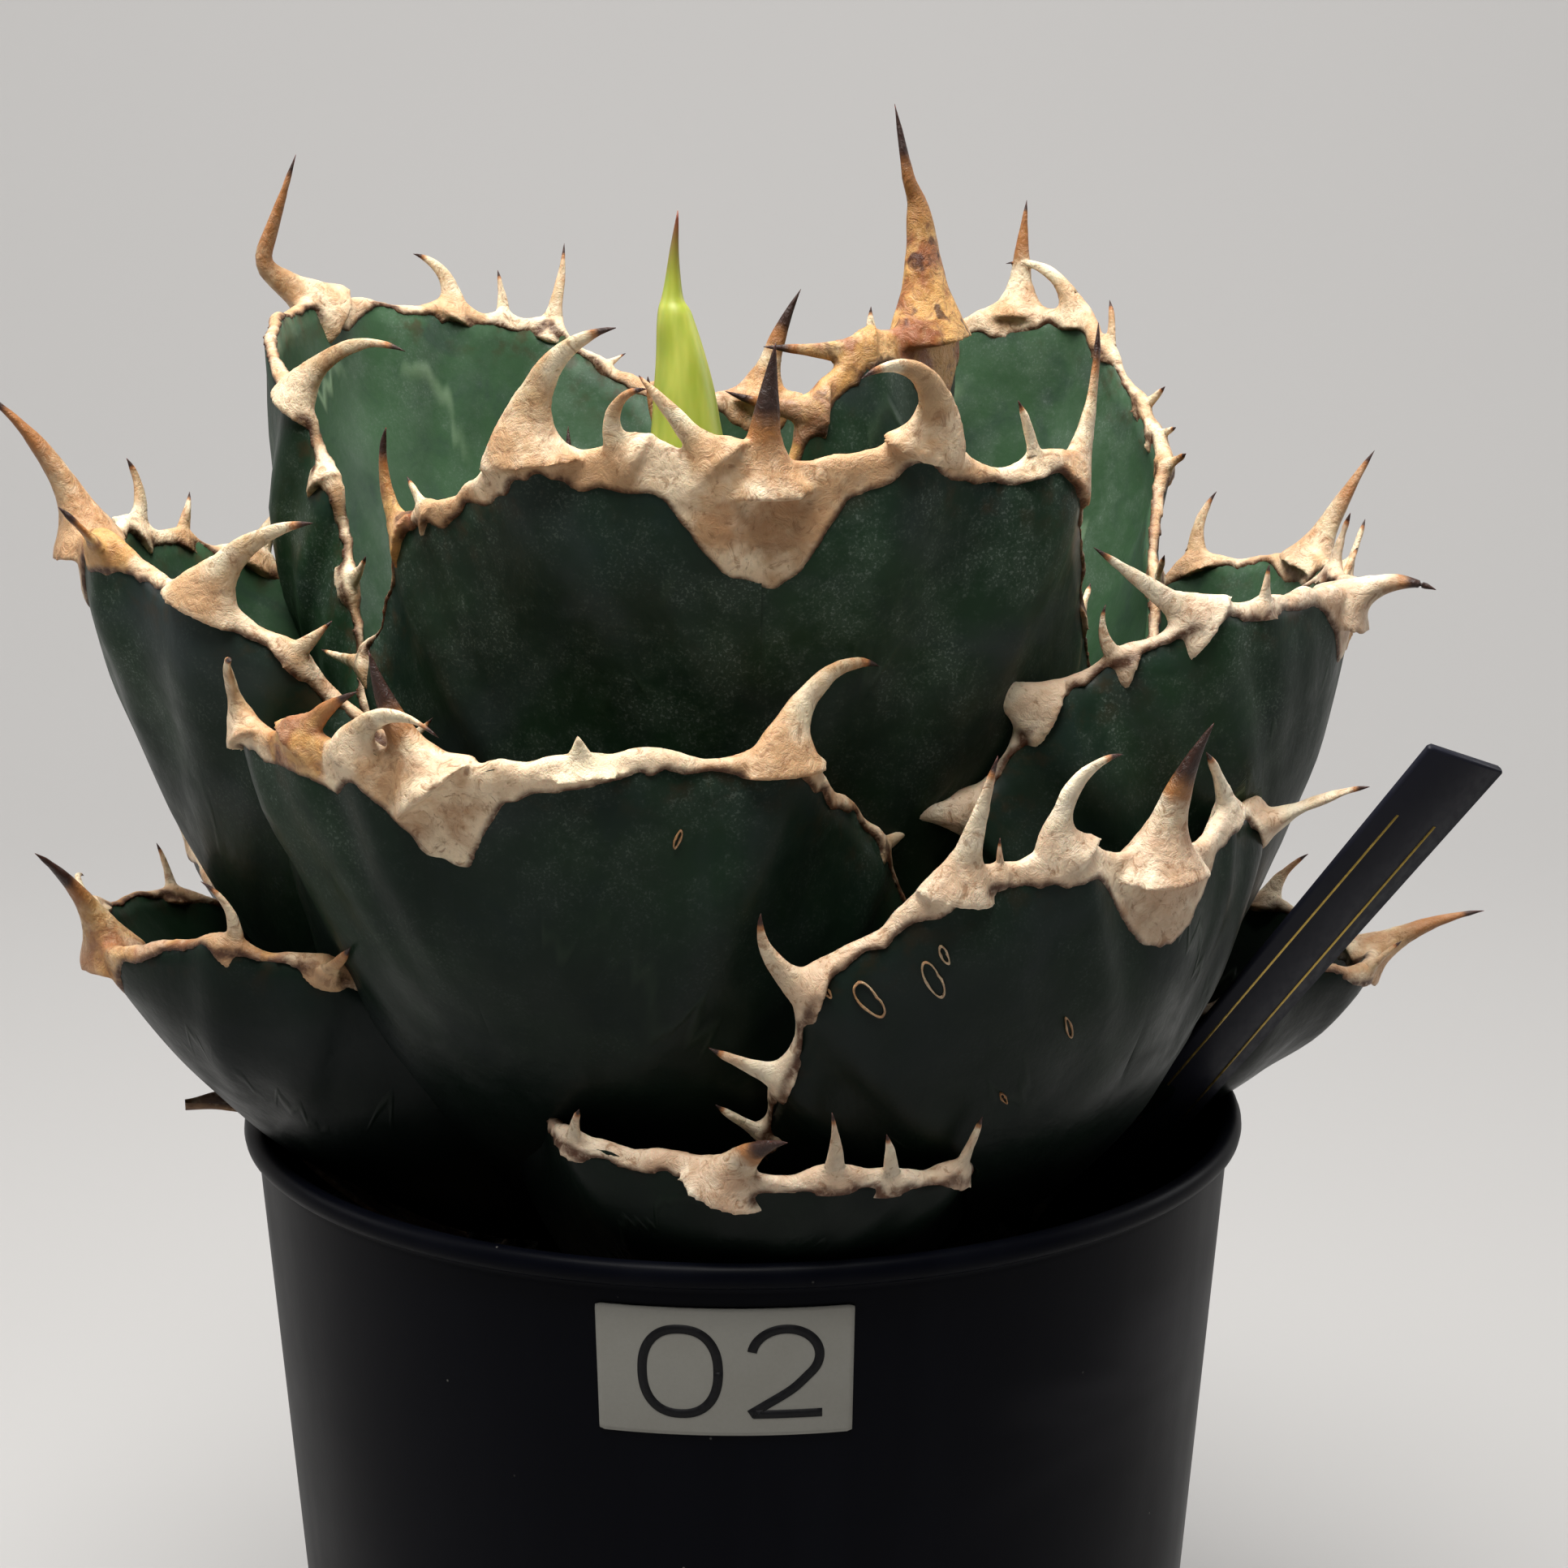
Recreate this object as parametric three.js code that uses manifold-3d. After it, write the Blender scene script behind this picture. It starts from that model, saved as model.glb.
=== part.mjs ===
// Potted succulent with thick cupped leaves, cork margins and long horny teeth.
// Millimetres, +Z up. The origin is the middle of the pot's underside, and the front is -Y.
import * as THREE from 'three';
import Module from 'manifold-3d';
import { mergeVertices } from 'three/addons/utils/BufferGeometryUtils.js';

const wasm = await Module();
wasm.setup();

// Pot: a 12 cm round nursery pot with a thin rolled lip
const POT_HEIGHT = 110;
const RIM_RADIUS = 60;
const BODY_TOP_RADIUS = 58.5;
const POT_TAPER = 0.075;
const WALL = 1.6;
const FLOOR = 2.2;
const LIP_HEIGHT = 2.6;
const POT_SIDES = 36;
const DRAIN_HOLES = 8;
const DRAIN_RADIUS = 3.5;
const DRAIN_CIRCLE = 36;

// Soil and the hidden stem
const SOIL_TOP = 91;
const SOIL_LUMP = 1.1;
const STEM_FOOT = 76;
const GAP = 0.35;

// Sticker on the pot's front
const STICKER_FROM = -15.3;
const STICKER_TO = 11.2;
const STICKER_TOP = 105;
const STICKER_BOTTOM = 90.6;
const STICKER_THICKNESS = 0.6;

// Plant label: a flat tapered stake that leans right and forward
const LABEL_TOP = [78.3, -32, 157.2];
const LABEL_FOOT = [33.4, 3, 83];
const LABEL_TOP_WIDTH = 10.9;
const LABEL_FOOT_WIDTH = 7.6;
const LABEL_THICKNESS = 1;

// Where the spokes of a leaf's net meet its midrib, as a part of its length, at the tip
const SPOKE_REACH = 0.75;
const TOOTH_ROOT = 1.2;

// A tooth on the left or right margin as seen from outside the leaf.
// at: place along the margin, 0 at the base and 1 at the tip. lean and curl: degrees towards the tip,
// at the root and added over the length. lift: degrees towards the inner face.
const left = (at, length, width, lean, curl, lift) => ({ side: -1, at, length, width, lean, curl, lift });
const right = (at, length, width, lean, curl, lift) => ({ side: 1, at, length, width, lean, curl, lift });

// A terminal spine: lean and curl in degrees towards the right margin, lift and hook towards the inner face
const spine = (length, width, lean, curl, lift, hook) => ({ length, width, lean, curl, lift, hook });

// Leaves from the youngest to the oldest. azimuth: 0 is the front, 90 the right.
// base, belly and tip: radius and height of the midrib's three guide points.
// shoulder, blunt and corner shape the outline, roll twists the blade and cup is its radius across.
const LEAVES = [
  {
    name: 'inner_right', azimuth: 66, base: [6, 121], belly: [24, 123], tip: [22, 203],
    width: 62, cup: 23, shoulder: 0.56, blunt: 2, corner: 1.9, roll: -8, sway: 0, thick: 4, cork: 2.4, bib: 8,
    spine: spine(24, 7, -6, -3, 2, 5), stations: 8,
    teeth: [left(0.9, 10, 5, -46, 0, 10), left(0.82, 9, 5, -35, 20, 0), left(0.7, 5, 4, -10, 30, 0),
      right(0.8, 4, 4, 0, 30, 0), right(0.62, 4, 3.5, 0, 30, 0)],
  },
  {
    name: 'inner_left', azimuth: -70, base: [6, 120], belly: [20, 121], tip: [21, 180],
    width: 44, cup: 20, shoulder: 0.5, blunt: 2, corner: 1.6, roll: 0, sway: 0, thick: 4, cork: 1.8, bib: 6,
    spine: spine(11, 5, 0, -10, 4, 0), stations: 7,
    teeth: [left(0.8, 5, 4, 0, 40, 0), right(0.78, 5, 4, 0, 30, 0)],
  },
  {
    name: 'inner_back', azimuth: 176, base: [7, 119], belly: [26, 120], tip: [32, 193],
    width: 58, cup: 24, shoulder: 0.56, blunt: 2.2, corner: 1.6, roll: 0, sway: 0, thick: 4, cork: 2.2, bib: 7,
    spine: spine(13, 6, -10, -20, 5, 0), stations: 7,
    teeth: [left(0.85, 7, 5, -10, 50, 0), left(0.7, 5, 4, 0, 30, 0),
      right(0.86, 6, 5, 0, 40, 5), right(0.7, 5, 4, 0, 30, 0)],
  },
  {
    name: 'front_upper', azimuth: 1, base: [11, 115], belly: [32, 112], tip: [53, 191],
    width: 99, cup: 42, shoulder: 0.6, blunt: 3, corner: 2.8, roll: 3, sway: 1, thick: 5, cork: 1.8, bib: 11,
    spine: spine(16, 9, 1, 8, 4, 0), stations: 9,
    teeth: [left(0.52, 12, 4, -30, 4, -6), left(0.66, 11, 5.5, -22, 100, 4), left(0.71, 4, 4, -20, 10, 8),
      left(0.83, 16, 8, 2, 92, 8), left(0.91, 8, 5, -60, 150, -4), left(0.97, 9, 5, -43, 0, 12),
      right(0.88, 15, 7, -18, 140, -12), right(0.77, 6, 4, 27, 26, 12), right(0.73, 15, 5.5, -12, 40, 9),
      right(0.55, 4, 4, 0, 20, 0)],
  },
  {
    name: 'back_left', azimuth: -133, base: [12, 114], belly: [53, 117], tip: [76, 203],
    width: 94, cup: 38, shoulder: 0.75, blunt: 3.6, corner: 1.5, roll: 11, sway: -2, thick: 5, cork: 1.8, bib: 6,
    spine: spine(27, 7, 44, -30, -6, 40), stations: 7,
    teeth: [left(0.69, 4, 3, -30, 0, 0), left(0.73, 3, 3, -30, 0, 0), left(0.78, 11, 4.5, 0, 15, 0),
      left(0.82, 6, 4, 7, 18, 0), left(0.87, 9, 6, -20, 110, 0), right(0.67, 19, 5.5, 16, -80, 14),
      right(0.59, 9, 5, 100, 80, 10), right(0.5, 5, 4, 0, 30, 0)],
  },
  {
    name: 'back_right', azimuth: 144, base: [11, 114], belly: [46, 111], tip: [62, 203],
    width: 85, cup: 35, shoulder: 0.6, blunt: 2.5, corner: 1.3, roll: 9, sway: 0, thick: 5, cork: 1.7, bib: 6,
    spine: spine(13, 6, 2, -4, 5, 0), stations: 8,
    teeth: [left(0.93, 12, 5, 30, 105, 12), left(0.88, 6, 4, 20, 40, 0), left(0.81, 4, 4, -18, 8, 0),
      left(0.77, 4, 4, -32, 3, 0), left(0.73, 5, 4, -29, 4, 0), left(0.6, 5, 4, -10, 20, 0),
      right(0.85, 6, 5, 0, 40, 0), right(0.7, 7, 5, -20, 40, 0)],
  },
  {
    name: 'mid_right', azimuth: 114, base: [13, 109], belly: [54, 106], tip: [79, 172],
    width: 66, cup: 28, shoulder: 0.6, blunt: 2.6, corner: 1.7, roll: 0, sway: 0, thick: 5, cork: 1.8, bib: 7,
    spine: spine(15, 7, -11, -7, 2, -9), stations: 7,
    teeth: [left(0.9, 6, 4, 10, 30, 0), left(0.8, 12, 5, -40, 160, 5), 
      right(0.85, 9, 5, 0, 60, 0), right(0.7, 8, 5, -20, 60, 0)],
  },
  {
    name: 'left', azimuth: -81, base: [13, 110], belly: [53, 109], tip: [75, 180],
    width: 77, cup: 29, shoulder: 0.7, blunt: 3, corner: 1.6, roll: 1, sway: 0, thick: 5.5, cork: 1.8, bib: 9,
    spine: spine(19, 8, 3, 11, 7, -40), stations: 9,
    teeth: [right(0.9, 7, 5, -40, 60, -30), right(0.77, 15, 7, 0, -63, 4), right(0.69, 5, 4, -18, 8, 0),
      right(0.56, 5, 4, 0, 20, 0), left(0.86, 8, 5, -40, 90, 5), left(0.8, 5, 4, -8, 12, 5),
      left(0.72, 12, 6, -4, -19, -22)],
  },
  {
    name: 'right', azimuth: 81, base: [13, 109], belly: [55, 108], tip: [68, 173],
    width: 85, cup: 29, shoulder: 0.64, blunt: 2.8, corner: 1.6, roll: -10, sway: 0, thick: 5.5, cork: 1.8, bib: 9,
    spine: spine(12, 8, -20, -75, 8, -30), stations: 9,
    teeth: [left(0.5, 6, 5, -28, 5, -80), left(0.63, 14, 6, -18, 34, -46), left(0.73, 8, 5, -50, 100, 8),
      left(0.79, 13, 6, -40, 0, 14), left(0.85, 4, 4, 0, 10, 0), right(0.85, 7, 5, 0, 40, 0),
      right(0.7, 10, 5, -20, 50, 0)],
  },
  {
    name: 'back', azimuth: -176, base: [13, 109], belly: [54, 104], tip: [74, 168],
    width: 80, cup: 33, shoulder: 0.6, blunt: 2.8, corner: 1.8, roll: 0, sway: 0, thick: 5.5, cork: 1.9, bib: 9,
    spine: spine(16, 8, 8, -20, 4, -20), stations: 7,
    teeth: [left(0.86, 11, 6, -10, 90, 5), left(0.72, 9, 5, -20, 50, 0), left(0.58, 5, 4, 0, 20, 0),
      right(0.85, 9, 6, 0, 80, 5), right(0.7, 10, 6, -15, 60, -50)],
  },
  {
    name: 'front_left', azimuth: -27, base: [14, 106], belly: [43, 99], tip: [67, 162],
    width: 92, cup: 35, shoulder: 0.6, blunt: 3.4, corner: 2.8, roll: 4, sway: 0, thick: 5.5, cork: 1.9, bib: 10,
    spine: spine(13, 8, -38, 30, 12, 0), stations: 9,
    teeth: [left(0.47, 5, 4, -20, 0, -8), left(0.66, 3, 4, 0, 0, 0), left(0.78, 11, 6, -18, 120, 0),
      left(0.86, 8, 5, 40, 36, 25), left(0.93, 12, 5, 11, 120, 2), right(0.71, 16, 7, 24, -120, 8),
      right(0.88, 4, 8, 0, 0, 0), right(0.54, 5, 4, -31, 4, 0)],
  },
  {
    name: 'front_right', azimuth: 45, base: [15, 104], belly: [50, 98], tip: [64, 151],
    width: 75, cup: 50, shoulder: 0.7, blunt: 3.5, corner: 2.6, roll: 0, sway: -4, thick: 5.5, cork: 2, bib: 11,
    spine: spine(15, 9, -1, 10, 8, -24), stations: 9,
    teeth: [left(0.35, 6, 4, 16, 22, 0), left(0.48, 7, 4.5, -3, 14, 0), left(0.6, 9, 5.5, -18, 85, 2),
      left(0.76, 12, 6, 30, 2, 4), left(0.81, 3, 3, -5, 14, 5), left(0.88, 12, 6, -33, 130, 5),
      right(0.85, 9, 5, 30, 33, 12), right(0.74, 11, 6, 0, 70, -50)],
  },
  {
    name: 'low_left', azimuth: -71, base: [17, 100], belly: [51, 100], tip: [75, 136],
    width: 64, cup: 29, shoulder: 0.6, blunt: 3.4, corner: 2.4, roll: 10, sway: 0, thick: 5.5, cork: 1.8, bib: 8,
    spine: spine(16, 7, 14, 20, 13, -30), stations: 9,
    teeth: [right(0.78, 8, 4, -45, 106, 4), right(0.66, 7, 4, -12, 11, -35),
      left(0.86, 8, 4, 7, -120, -8), left(0.7, 6, 4, 0, 30, 0)],
  },
  {
    name: 'low_right', azimuth: 101, base: [17, 100], belly: [48, 101], tip: [80, 124],
    width: 60, cup: 25, shoulder: 0.58, blunt: 2.5, corner: 1.7, roll: -2, sway: 0, thick: 5, cork: 1.8, bib: 7,
    spine: spine(15, 7, -10, -6, 4, -30), stations: 7,
    teeth: [left(0.63, 5, 4, 2, 16, 0), left(0.8, 5, 4, 0, 30, 0), right(0.8, 8, 5, -10, 50, 0),
      right(0.62, 6, 4, 0, 30, 0)],
  },
  {
    name: 'low_back', azimuth: 160, base: [17, 100], belly: [49, 100], tip: [78, 133],
    width: 66, cup: 29, shoulder: 0.6, blunt: 2.8, corner: 2, roll: 4, sway: 0, thick: 5.5, cork: 1.8, bib: 8,
    spine: spine(15, 7, 10, -16, 6, -26), stations: 7,
    teeth: [left(0.82, 9, 5, -20, 80, 4), left(0.66, 6, 4, 0, 30, 0), right(0.82, 8, 5, 0, 60, 0),
      right(0.66, 6, 5, -20, 50, -40)],
  },
  {
    name: 'low_back_left', azimuth: -124, base: [17, 100], belly: [49, 100], tip: [79, 135],
    width: 64, cup: 28, shoulder: 0.6, blunt: 2.8, corner: 2, roll: -4, sway: 0, thick: 5.5, cork: 1.8, bib: 8,
    spine: spine(15, 7, -8, 12, 6, -26), stations: 7,
    teeth: [left(0.82, 8, 5, 0, 70, 0), left(0.64, 6, 4, 0, 30, 0), right(0.82, 9, 5, -20, 70, 4),
      right(0.64, 7, 4, -10, 40, 0)],
  },
  {
    name: 'low_front', azimuth: -3, base: [18, 99], belly: [44, 91], tip: [59, 120],
    width: 58, cup: 28, shoulder: 0.64, blunt: 3, corner: 2.4, roll: -7, sway: 1, thick: 5, cork: 1.8, bib: 7,
    spine: spine(10, 7, 16, 40, 2, -24), stations: 9,
    teeth: [left(0.78, 5, 4, 20, 20, 0), right(0.86, 8, 4, 0, 18, 0), right(0.78, 6, 4, 10, 22, 0),
      right(0.68, 6, 4, 1, 16, 0)],
  },
];

const radians = THREE.MathUtils.degToRad;
const lerp = THREE.MathUtils.lerp;
const clamp = THREE.MathUtils.clamp;
const range = (count) => Array.from({ length: count }, (_, index) => index);

// A table read by straight lines between its rows, held at its ends
function readTable(xs, ys, x) {
  if (x <= xs[0]) return ys[0];
  const last = xs.length - 1;
  if (x >= xs[last]) return ys[last];
  let low = 0;
  let high = last;
  while (high - low > 1) {
    const middle = (low + high) >> 1;
    if (xs[middle] <= x) low = middle;
    else high = middle;
  }
  return lerp(ys[low], ys[high], (x - xs[low]) / (xs[high] - xs[low]));
}

// A leaf's surface: a curved midrib, a cupped section and an outline walked by its arc length
class LeafForm {
  constructor(leaf) {
    Object.assign(this, leaf);
    const azimuth = radians(leaf.azimuth);
    this.outward = new THREE.Vector3(Math.sin(azimuth), -Math.cos(azimuth), 0);
    this.across = new THREE.Vector3(Math.cos(azimuth), Math.sin(azimuth), 0);
    this.walkOutline();
  }

  // Midrib point [radius, height] and unit direction at s, from 0 at the base to 1 at the tip
  midrib(s) {
    const [b, c, t] = [this.base, this.belly, this.tip];
    const point = [0, 1].map((i) => (1 - s) ** 2 * b[i] + 2 * s * (1 - s) * c[i] + s ** 2 * t[i]);
    const slope = [0, 1].map((i) => 2 * (1 - s) * (c[i] - b[i]) + 2 * s * (t[i] - c[i]));
    const size = Math.hypot(...slope);
    return { point, direction: slope.map((value) => value / size) };
  }

  halfWidth(s) {
    const foot = 0.4;
    if (s < this.shoulder) {
      return this.width / 2 * (foot + (1 - foot) * Math.sin(s / this.shoulder * Math.PI / 2) ** 1.3);
    }
    const end = clamp((s - this.shoulder) / (1 - this.shoulder), 0, 1);
    return this.width / 2 * (1 - end ** this.blunt) ** (1 / this.corner);
  }

  walkOutline() {
    const steps = 400;
    this.walk = { arc: [0], s: [], length: [0], half: [] };
    let before = null;
    for (const i of range(steps + 1)) {
      const s = 1 - (1 - i / steps) ** 2;
      const { point } = this.midrib(s);
      const half = this.halfWidth(s);
      if (before) {
        const along = Math.hypot(point[0] - before.point[0], point[1] - before.point[1]);
        this.walk.length.push(this.walk.length.at(-1) + along);
        this.walk.arc.push(this.walk.arc.at(-1) + Math.hypot(along, half - before.half));
      }
      this.walk.s.push(s);
      this.walk.half.push(half);
      before = { point, half };
    }
    this.arcLength = this.walk.arc.at(-1);
    this.midribLength = this.walk.length.at(-1);
  }

  // Point, length direction, cross direction and inner-face normal at s and a distance across
  surface(s, distance) {
    const { point, direction } = this.midrib(s);
    const up = new THREE.Vector3(0, 0, 1);
    const along = this.outward.clone().multiplyScalar(direction[0]).addScaledVector(up, direction[1]);
    const normal = this.outward.clone().multiplyScalar(-direction[1]).addScaledVector(up, direction[0]);
    const turn = radians(this.roll) * s;
    const cross = this.across.clone().multiplyScalar(Math.cos(turn)).addScaledVector(normal, Math.sin(turn));
    const face = normal.multiplyScalar(Math.cos(turn)).addScaledVector(this.across, -Math.sin(turn));
    const bend = distance / this.cup;
    const place = this.outward.clone().multiplyScalar(point[0]).addScaledVector(up, point[1])
      .addScaledVector(this.across, this.sway * s ** 2)
      .addScaledVector(cross, this.cup * Math.sin(bend))
      .addScaledVector(face, this.cup * (1 - Math.cos(bend)));
    return {
      place,
      along,
      cross: cross.clone().multiplyScalar(Math.cos(bend)).addScaledVector(face, Math.sin(bend)),
      inner: face.clone().multiplyScalar(Math.cos(bend)).addScaledVector(cross, -Math.sin(bend)),
    };
  }

  // How far the teeth's mounds push the outline out
  mound(at, side) {
    return this.teeth.filter((tooth) => tooth.side === side).reduce((sum, tooth) => {
      const spread = 0.5 * tooth.width + 1.2;
      const height = 1.6 * Math.min(1.3, tooth.length / 9);
      return sum + height * Math.exp(-(((at - tooth.at) * this.arcLength / spread) ** 2));
    }, 0);
  }

  // Outline place as s and half width, with the outline's flat direction towards the tip
  outline(at, side) {
    const { arc, s, length, half } = this.walk;
    const x = at * this.arcLength;
    const step = 0.004 * this.arcLength;
    const run = readTable(arc, length, x + step) - readTable(arc, length, x - step);
    const rise = readTable(arc, half, x + step) - readTable(arc, half, x - step);
    const size = Math.hypot(run, rise) + 1e-9;
    const flat = [run / size, rise / size];
    const push = this.mound(at, side);
    return {
      s: readTable(arc, s, x) - flat[1] * push / this.midribLength,
      half: readTable(arc, half, x) + flat[0] * push,
      flat,
    };
  }

  // Place on the leaf's net: at along the margin, out from 0 at the midrib to 1 at the margin
  net(at, out, side, depth, grow = 0) {
    const edge = this.outline(at, side);
    const root = SPOKE_REACH * at;
    const wave = 0.8 * out ** 4 * Math.sin(2 * Math.PI * (3.5 * at + (side > 0 ? 0.3 : 0)));
    const frame = this.surface(lerp(root, edge.s, out), side * edge.half * out);
    frame.place.addScaledVector(frame.inner, wave - depth);
    const outDirection = this.outwardDirection(frame, edge, side);
    frame.place.addScaledVector(outDirection, grow * out);
    frame.out = outDirection;
    frame.toTip = frame.along.clone().multiplyScalar(edge.flat[0])
      .addScaledVector(frame.cross, edge.flat[1] * side);
    return frame;
  }

  outwardDirection(frame, edge, side) {
    return frame.along.clone().multiplyScalar(-edge.flat[1])
      .addScaledVector(frame.cross, edge.flat[0] * side);
  }

  thickness(at, out) {
    const edge = 2;
    const middle = this.thick * (1.15 - 0.55 * SPOKE_REACH * at);
    return edge + (middle - edge) * (1 - out ** 2);
  }

  // The cork band's inner edge as a part of the spoke, with a margin of its own
  corkEdge(at, side, gap) {
    const edge = this.outline(at, side);
    const run = (edge.s - SPOKE_REACH * at) * this.midribLength;
    const spoke = Math.hypot(run, edge.half);
    const bib = (this.bib - this.cork) * Math.exp(-(((1 - at) * this.arcLength / (0.5 * this.bib)) ** 2));
    const ramp = clamp((at - this.corkStart) / 0.08, 0.35, 1);
    return 1 - ((this.cork + bib) * ramp + 0.3 * this.mound(at, side) + gap) / spoke;
  }

  get corkStart() {
    return 0.3;
  }
}

// A closed mesh from rings of equal length; the ends are fans, or a point where a ring has one corner
function loft(rings) {
  const positions = rings.flat().flatMap((p) => p.toArray());
  const triangles = [];
  const starts = [];
  let start = 0;
  for (const ring of rings) {
    starts.push(start);
    start += ring.length;
  }
  for (const i of range(rings.length - 1)) {
    const sides = Math.max(rings[i].length, rings[i + 1].length);
    for (const k of range(sides)) {
      const next = (k + 1) % sides;
      const a = rings[i].length === 1 ? starts[i] : starts[i] + k;
      const b = rings[i].length === 1 ? starts[i] : starts[i] + next;
      const c = rings[i + 1].length === 1 ? starts[i + 1] : starts[i + 1] + k;
      const d = rings[i + 1].length === 1 ? starts[i + 1] : starts[i + 1] + next;
      if (a !== b) triangles.push(a, b, d);
      if (c !== d) triangles.push(a, d, c);
    }
  }
  for (const k of range(Math.max(0, rings[0].length - 2))) {
    triangles.push(starts[0], starts[0] + k + 2, starts[0] + k + 1);
  }
  const end = starts.at(-1);
  for (const k of range(Math.max(0, rings.at(-1).length - 2))) {
    triangles.push(end, end + k + 1, end + k + 2);
  }
  return { positions, triangles };
}

// A mesh turned so that its volume is positive, as a solid
function toSolid({ positions, triangles }) {
  const corner = (index) => new THREE.Vector3().fromArray(positions, 3 * index);
  let volume = 0;
  for (let i = 0; i < triangles.length; i += 3) {
    const [a, b, c] = [corner(triangles[i]), corner(triangles[i + 1]), corner(triangles[i + 2])];
    volume += a.dot(b.cross(c));
  }
  const turned = volume < 0
    ? triangles.map((_, i) => triangles[i - (i % 3) + [0, 2, 1][i % 3]])
    : triangles;
  const mesh = new wasm.Mesh({
    numProp: 3,
    vertProperties: new Float32Array(positions),
    triVerts: new Uint32Array(turned),
  });
  return new wasm.Manifold(mesh);
}

function geometryToSolid(geometry) {
  const bare = geometry.clone();
  bare.deleteAttribute('normal');
  bare.deleteAttribute('uv');
  const merged = mergeVertices(bare, 1e-4);
  const index = Array.from(merged.index.array);
  const position = merged.attributes.position.array;
  const kept = [];
  for (let i = 0; i < index.length; i += 3) {
    const [a, b, c] = index.slice(i, i + 3);
    if (a !== b && b !== c && a !== c) kept.push(a, b, c);
  }
  return toSolid({ positions: Array.from(position), triangles: kept });
}

const join = (solids) => solids.reduce((sum, solid) => sum.add(solid));
const cut = (solid, tools) => tools.filter((tool) => boxesMeet(solid, tool))
  .reduce((rest, tool) => rest.subtract(tool), solid);

function boxesMeet(first, second) {
  const a = first.boundingBox();
  const b = second.boundingBox();
  return [0, 1, 2].every((i) => a.min[i] < b.max[i] && b.min[i] < a.max[i]);
}

function largestBody(solid) {
  const bodies = solid.decompose();
  return bodies.reduce((best, body) => (body.volume() > best.volume() ? body : best));
}

// Places along the margin, closer together towards the tip
const station = (i, count) => 1 - (1 - i / count) ** 1.3;

// Blade between its cork edges: inner and outer faces share the same net
function bladeMesh(form, { border, grow = 0, levels = [0, 0.6, 1], stations = form.stations }) {
  const rows = range(stations + 1).map((i) => station(i, stations));
  const half = (at, side, outer) => levels.map((level) => {
    const out = level * border(at, side);
    const depth = outer ? form.thickness(at, out) + grow : -grow;
    return form.net(at, out, side, depth, grow).place;
  });
  const positions = [];
  const add = (point) => positions.push(...point.toArray()) / 3 - 1;
  const grid = [false, true].map((outer) => rows.map((at) => {
    const leftHalf = half(at, -1, outer).slice(1).reverse();
    return [...leftHalf, ...half(at, 1, outer)].map(add);
  }));
  const triangles = [];
  const quad = (a, b, c, d) => triangles.push(a, b, c, a, c, d);
  const columns = grid[0][0].length;
  const middle = (columns - 1) / 2;
  const last = rows.length - 1;
  for (const i of range(last)) {
    for (const k of range(columns - 1)) {
      const [inner, outer] = grid;
      quad(inner[i][k], inner[i][k + 1], inner[i + 1][k + 1], inner[i + 1][k]);
      quad(outer[i][k + 1], outer[i][k], outer[i + 1][k], outer[i + 1][k + 1]);
    }
    quad(grid[0][i][0], grid[0][i + 1][0], grid[1][i + 1][0], grid[1][i][0]);
    const end = columns - 1;
    quad(grid[0][i + 1][end], grid[0][i][end], grid[1][i][end], grid[1][i + 1][end]);
  }
  for (const k of range(columns - 1)) {
    quad(grid[0][0][k + 1], grid[0][0][k], grid[1][0][k], grid[1][0][k + 1]);
  }
  // The last row folds onto itself along the tip's spoke, so its two halves are one
  const weld = new Map();
  for (const face of grid) {
    for (const k of range(middle)) weld.set(face[last][columns - 1 - k], face[last][k]);
  }
  const welded = triangles.map((index) => weld.get(index) ?? index);
  const kept = [];
  for (let i = 0; i < welded.length; i += 3) {
    const [a, b, c] = welded.slice(i, i + 3);
    if (a !== b && b !== c && a !== c) kept.push(a, b, c);
  }
  return dropUnused({ positions, triangles: kept });
}

function dropUnused({ positions, triangles }) {
  const map = new Map();
  const kept = [];
  const renumbered = triangles.map((index) => {
    if (!map.has(index)) {
      map.set(index, kept.length / 3);
      kept.push(...positions.slice(3 * index, 3 * index + 3));
    }
    return map.get(index);
  });
  return { positions: kept, triangles: renumbered };
}

// Cork band round the margin, from one side over the tip to the other; grow swells it all round
function corkBand(form, grow) {
  const count = form.stations;
  const first = range(count).find((i) => station(i, count) >= form.corkStart);
  const ring = (at, side) => {
    const edge = form.corkEdge(at, side, grow);
    const middle = (1 + edge) / 2;
    const raise = 0.3 + grow;
    return [
      form.net(at, edge, side, -grow).place,
      form.net(at, middle, side, -raise).place,
      form.net(at, 1, side, form.thickness(at, 1) / 2, 0.5 + 1.5 * grow).place,
      form.net(at, middle, side, form.thickness(at, middle) + raise).place,
      form.net(at, edge, side, form.thickness(at, edge) + grow).place,
    ];
  };
  const rings = [];
  for (let i = first; i < count; i += 1) rings.push(ring(station(i, count), -1));
  rings.push(ring(1, -1));
  for (let i = count - 1; i >= first; i -= 1) rings.push(ring(station(i, count), 1));
  return toSolid(loft(rings));
}

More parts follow.
